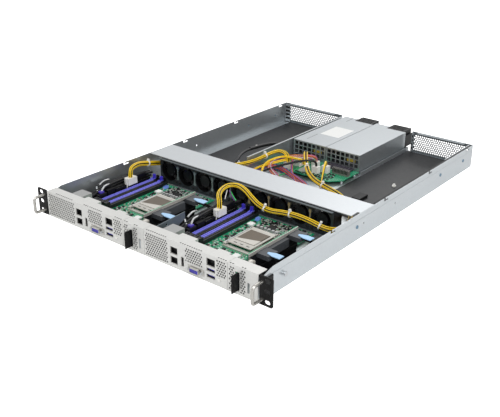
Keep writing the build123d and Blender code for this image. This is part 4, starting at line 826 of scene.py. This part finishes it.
cable = wires("black_cable_jacket", [centre_line(BLACK_CABLE)], 2.45, black_wire)
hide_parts("black_cable")

# Thin wires in the bay, with copper strands in yellow, black, green and mixed insulation. They run
# from the plugs of the power board to the fans under the bridge, and the mixed bundle loops from
# fan to fan.
MIXED_RUN = ((-52.0, 262.0, 9.4), (-60.0, 300.0, 11.0), (-65.0, 335.0, 13.0),
             (-59.0, 369.0, 16.0), (-30.0, 377.0, 18.0), (20.0, 355.0, 17.0), (64.0, 337.0, 14.0),
             (84.0, 300.0, 10.0), (92.0, 262.0, 9.4))
GREEN_RUN = ((8.0, 436.0, 22.0), (8.0, 436.0, 27.0), (9.0, 423.0, 27.0), (5.0, 391.0, 20.0),
             (-11.0, 355.0, 15.0), (-20.0, 310.0, 11.0), (-26.0, 262.0, 9.4))
SECOND_RUN = ((-30.0, 427.0, 22.0), (-30.0, 427.0, 27.0), (-24.0, 415.0, 28.0),
              (-32.0, 395.0, 26.0), (-57.0, 357.0, 20.0), (-65.0, 330.0, 14.0),
              (-80.0, 300.0, 10.0), (-84.0, 262.0, 9.4))
strands = bundle(MIXED_RUN, 15, 4.6, 3.0, 21)
for n, code in enumerate(("#C8322C", "#E07820", "#2C4FB0")):
    wires(f"mixed_wires_{n + 1}", strands[n::3], 0.5, insulation(f"mixed_{code[1:]}", code))
CROSS_RUN = ((8.0, 436.0, 22.0), (8.0, 436.0, 29.0), (-4.0, 424.0, 31.0), (-24.0, 410.0, 30.0),
             (-44.0, 400.0, 26.0), (-52.0, 380.0, 22.0), (-40.0, 356.0, 19.0), (-8.0, 340.0, 16.0),
             (16.0, 318.0, 12.0), (22.0, 290.0, 10.0), (22.0, 262.0, 9.4))
for n, code in enumerate(("#D23A2E", "#E8862A", "#8A4FB0", "#E9E4DA")):
    strands = bundle(CROSS_RUN, 12, 4.2, 3.0, 27)
    wires(f"cross_wires_{n + 1}", strands[n::4], 0.5, insulation(f"cross_{code[1:]}", code))
green_wire = insulation("green_wire", "#1F9A55")
wires("green_wires", bundle(GREEN_RUN, 3, 1.0, 4.0, 22), 0.55, green_wire)
wires("second_yellow_wires", bundle(SECOND_RUN, 3, 1.6, 4.0, 24), 0.95, yellow_wire)
THIRD_RUN = ((0.0, 408.0, 22.0), (0.0, 408.0, 30.0), (-10.0, 400.0, 33.0), (-30.0, 398.0, 33.0),
             (-44.0, 392.0, 30.0), (-54.0, 372.0, 26.0), (-50.0, 350.0, 22.0),
             (-36.0, 330.0, 16.0), (-22.0, 300.0, 11.0), (-18.0, 262.0, 9.4))
FOURTH_RUN = ((24.0, 414.0, 22.0), (24.0, 414.0, 31.0), (16.0, 404.0, 34.0), (0.0, 394.0, 32.0),
              (-18.0, 378.0, 27.0), (-34.0, 356.0, 22.0), (-46.0, 330.0, 16.0),
              (-52.0, 300.0, 11.0), (-56.0, 262.0, 9.4))
wires("third_yellow_wires", bundle(THIRD_RUN, 3, 1.6, 4.0, 25), 0.95, yellow_wire)
wires("fourth_black_wires", bundle(FOURTH_RUN, 4, 1.8, 4.0, 26), 0.9, black_wire)

# Left of the memory on each board: black plugs, thick black cables that run back beside the
# slots, a purple plug and a crumpled metal sleeve round the front of the cables.
purple = surface("purple_plug", "#4B3BA8", 0.4, grain=0.05)
sleeve_metal = surface("sleeve_foil", "#C9CBCC", 0.3, metal=0.8, grain=0.2, grain_scale=260.0,
                       bump=0.5)
for side, start in zip(("left", "right"), BOARD_STARTS):
    plugs = [(start + 8.0, start + 21.0, 78.0, 96.0, BOARD_TOP, 18.0),
             (start + 9.0, start + 20.0, 99.0, 116.0, BOARD_TOP, 20.0),
             (start + 8.0, start + 20.0, 56.0, 72.0, BOARD_TOP, 12.0),
             (start + 8.5, start + 14.0, 168.0, 196.0, BOARD_TOP, 24.0)]
    blocks(f"dark_plugs_{side}", plugs, black_plastic, bevel=0.6)
    blocks(f"purple_plug_{side}", [(start + 9.5, start + 19.5, 84.0, 92.0, 18.0, 21.5)], purple,
           bevel=0.4)
    thick = []
    for n, (u, z) in enumerate(((2.0, 9.0), (6.0, 15.0), (-1.5, 15.5), (3.0, 21.0), (9.0, 21.5))):
        shift = 2.0 * (n % 3)
        thick.append(centre_line(((start + u + 4.0, 62.0 + shift, z * 0.7),
                                  (start + u + 2.0, 90.0, z), (start + u, 120.0 + shift, z + 3.0),
                                  (start + u - 2.0, 150.0, z + 2.0), (start + u + 1.0, 182.0, z),
                                  (start + u + 6.0, 208.0, z - 2.0))))
    wires(f"thick_cables_{side}", thick, 2.3, black_wire)
    front = (((start + 16.0, 89.0, 20.0), (start + 11.0, 97.0, 24.0), (start + 9.0, 106.0, 25.0),
              (start + 9.0, 115.0, 24.0)),
             ((start - 2.0, 100.0, 24.0), (start - 3.0, 108.0, 27.0), (start - 4.5, 116.0, 27.5),
              (start - 4.6, 124.0, 26.0)),
             ((start + 12.0, 84.0, 17.0), (start + 5.0, 88.0, 21.0), (start - 2.0, 94.0, 22.0)))
    wires(f"foil_sleeves_{side}", [centre_line(line) for line in front], 1.7, sleeve_metal)

# Coloured ends: three thin insulated wires, green, purple and white, come loose from the right
# loom where it turns down to its plug.
for label, code, line in (
        ("green_end", "#3FC46A", ((-1.0, 204.0, 33.0), (6.0, 197.0, 34.0), (16.0, 196.0, 25.0))),
        ("purple_end", "#7D4A9C", ((-6.0, 206.0, 33.0), (3.0, 198.0, 32.0), (13.0, 196.0, 24.0))),
        ("white_end", "#E4E4E2", ((-11.0, 206.0, 33.0), (-7.0, 199.0, 31.0), (1.0, 186.0, 27.0)))):
    wires(label, [centre_line(line)], 0.9, surface(f"{label}_wire", code, 0.4, grain=0.05))

# Black leads on each board: front-panel leads beside the memory, and the riser cables that leave
# the plugs and run back beside the riser.
for side, start in zip(("left", "right"), BOARD_STARTS):
    front_lead = ((start + 15.0, 146.0, 12.0), (start + 15.0, 138.0, 18.0),
                  (start + 11.0, 112.0, 15.0), (start + 14.0, 84.0, 9.0),
                  (start + 12.0, 58.0, 8.4), (start + 16.0, 40.0, 8.4))
    wires(f"front_leads_{side}", bundle(front_lead, 4, 1.7, 3.0, 31), 0.8, black_wire)
    first_cable = ((start + 189.0, 68.0, 32.0), (start + 200.0, 71.0, 29.0),
                   (start + 205.0, 92.0, 15.0), (start + 200.0, 130.0, 11.0),
                   (start + 194.0, 170.0, 9.0), (start + 188.0, 204.0, 9.0))
    second_cable = ((start + 189.0, 141.0, 32.0), (start + 200.0, 145.0, 29.0),
                    (start + 206.0, 162.0, 15.0), (start + 201.0, 186.0, 11.0),
                    (start + 192.0, 206.0, 10.0))
    wires(f"riser_cables_{side}", bundle(first_cable, 5, 2.4, 2.0, 33)
          + bundle(second_cable, 5, 2.4, 2.0, 34), 0.9, black_wire)

# Supply tops: a blank pale sticker and two pressed slots; behind each grid the transformer
# carries yellow tape. All of it slides out with its supply.
SUPPLY_TOP = 40.4
blocks("supply_label", [(-44.0, -2.0, 526.0, 583.0, SUPPLY_TOP, 40.5)], label_white, bevel=0,
       body="supply_1")
tape = surface("transformer_tape", "#C9B23A", 0.4, grain=0.05)
for number, left in enumerate(SUPPLY_STARTS, 1):
    blocks(f"supply_tape_{number}", [(left + 43.9, left + 62.6, 472.6, 474.0, 22.6, 30.2)], tape,
           bevel=0.3, body=f"supply_{number}")
# The pressed slots are grey marks of painted shade.
pressed_slot_shade = surface("pressed_slot_shade", "#4A4F52", 0.5, grain=0.05)
pressed = [(-47.1, -45.9, y0, y1, SUPPLY_TOP, 40.44) for y0, y1 in ((485.0, 521.0), (624.0, 650.0))]
blocks("supply_slots", pressed, pressed_slot_shade, bevel=0, body="supply_1")

# Rear folds: zinc-plated flanges with four slots each, folded inward at the ends of the grilles
# and welded to the walls.
folds, fold_slots = [], []
for x0, x1 in ((-217.0, -203.0), (92.5, 97.5)):
    folds.append((x0, x1, 644.6, 645.6, 3.0, 41.5))
    fold_slots += [(x0 + 1.4, x1 - 1.4, 644.5, 644.6, 8.0 + 8.0 * n, 12.5 + 8.0 * n)
                   for n in range(4)]
blocks("rear_folds", folds, zinc, bevel=0.1)
# The slots are dark marks of painted shade on the flanges, not holes.
blocks("rear_fold_slots", fold_slots, vent_shade, bevel=0)

# Floor: a plain pale sheet of studio paper just under the case. It sends light back up, and the
# camera sees it as plain white, as in the photograph.
FLOOR_DROP = -0.6 * MM
FLOOR_REACH = 4.0
floor_mesh = bpy.data.meshes.new("floor")
corners = [(x * FLOOR_REACH, y * FLOOR_REACH, FLOOR_DROP)
           for x, y in ((-1, -1), (1, -1), (1, 1), (-1, 1))]
floor_mesh.from_pydata(corners, [], [(0, 1, 2, 3)])
floor = bpy.data.objects.new("floor", floor_mesh)
pale_floor = surface("pale_floor", "#F4F4F4", 0.9, grain=0.005)
shader = pale_floor.node_tree.nodes["Principled BSDF"]
shader.inputs["Emission Color"].default_value = (1, 1, 1, 1)
direct = add(pale_floor, "ShaderNodeLightPath").outputs["Is Camera Ray"]
pale_floor.node_tree.links.new(direct, shader.inputs["Emission Strength"])
floor_mesh.materials.append(pale_floor)
scene.collection.objects.link(floor)

# Light: an even white sky that is stronger in reflections and plain white to the camera, and four
# soft area lamps.
SKY_ON_SURFACES = 0.52
SKY_IN_REFLECTIONS = 0.84
world = bpy.data.worlds.new("studio")
scene.world = world
world.use_nodes = True
sky = world.node_tree
background = sky.nodes["Background"]
background.inputs[0].default_value = (1, 1, 1, 1)
seen = sky.nodes.new("ShaderNodeLightPath")
soft = sky.nodes.new("ShaderNodeMapRange")
soft.inputs["To Min"].default_value = SKY_ON_SURFACES
soft.inputs["To Max"].default_value = SKY_IN_REFLECTIONS
sky.links.new(seen.outputs["Is Glossy Ray"], soft.inputs["Value"])
level = sky.nodes.new("ShaderNodeMapRange")
level.inputs["To Max"].default_value = 1.0
sky.links.new(seen.outputs["Is Camera Ray"], level.inputs["Value"])
sky.links.new(soft.outputs[0], level.inputs["To Min"])
sky.links.new(level.outputs[0], background.inputs[1])

for name, spot, target, size, power in (
    ("key", (1.1, -1.0, 1.7), (0, 0, 0), 1.2, 25.0),
    ("fill", (-1.6, -1.2, 1.2), (0, 0, 0), 1.4, 7.0),
    ("back", (-0.5, 1.8, 1.6), (0, 0, 0), 1.2, 9.0),
    ("side", (1.9, 0.1, 0.35), (0.2, 0.1, 0.02), 0.8, 7.0),
):
    lamp = bpy.data.lights.new(name, "AREA")
    lamp.size = size
    lamp.energy = power
    holder = bpy.data.objects.new(name, lamp)
    holder.location = spot
    holder.rotation_euler = (Vector(target) - Vector(spot)).to_track_quat("-Z", "Y").to_euler()
    scene.collection.objects.link(holder)

# Camera: a long lens that looks from the front right and above. Its place and angles were fitted
# to the photograph by the ears, the case corners and the ports.
CAMERA_ANGLES = (38.7857, 24.2171, 0.3502)
CAMERA_SPOT = (0.7641, -1.02265, 0.5353)
FOCAL_LENGTH = 56.32
azimuth, elevation, roll = (math.radians(angle) for angle in CAMERA_ANGLES)
back = Vector((math.sin(azimuth) * math.cos(elevation), -math.cos(azimuth) * math.cos(elevation),
               math.sin(elevation)))
flat_right = Vector((math.cos(azimuth), math.sin(azimuth), 0))
flat_up = back.cross(flat_right)
right = flat_right * math.cos(roll) + flat_up * math.sin(roll)
up = flat_up * math.cos(roll) - flat_right * math.sin(roll)
lens = bpy.data.cameras.new("camera")
lens.lens = FOCAL_LENGTH
lens.clip_start = 0.05
lens.clip_end = 20.0
camera = bpy.data.objects.new("camera", lens)
camera.matrix_world = Matrix((right, up, back)).transposed().to_4x4()
camera.location = CAMERA_SPOT
scene.collection.objects.link(camera)
scene.camera = camera
scene.view_settings.view_transform = "Standard"
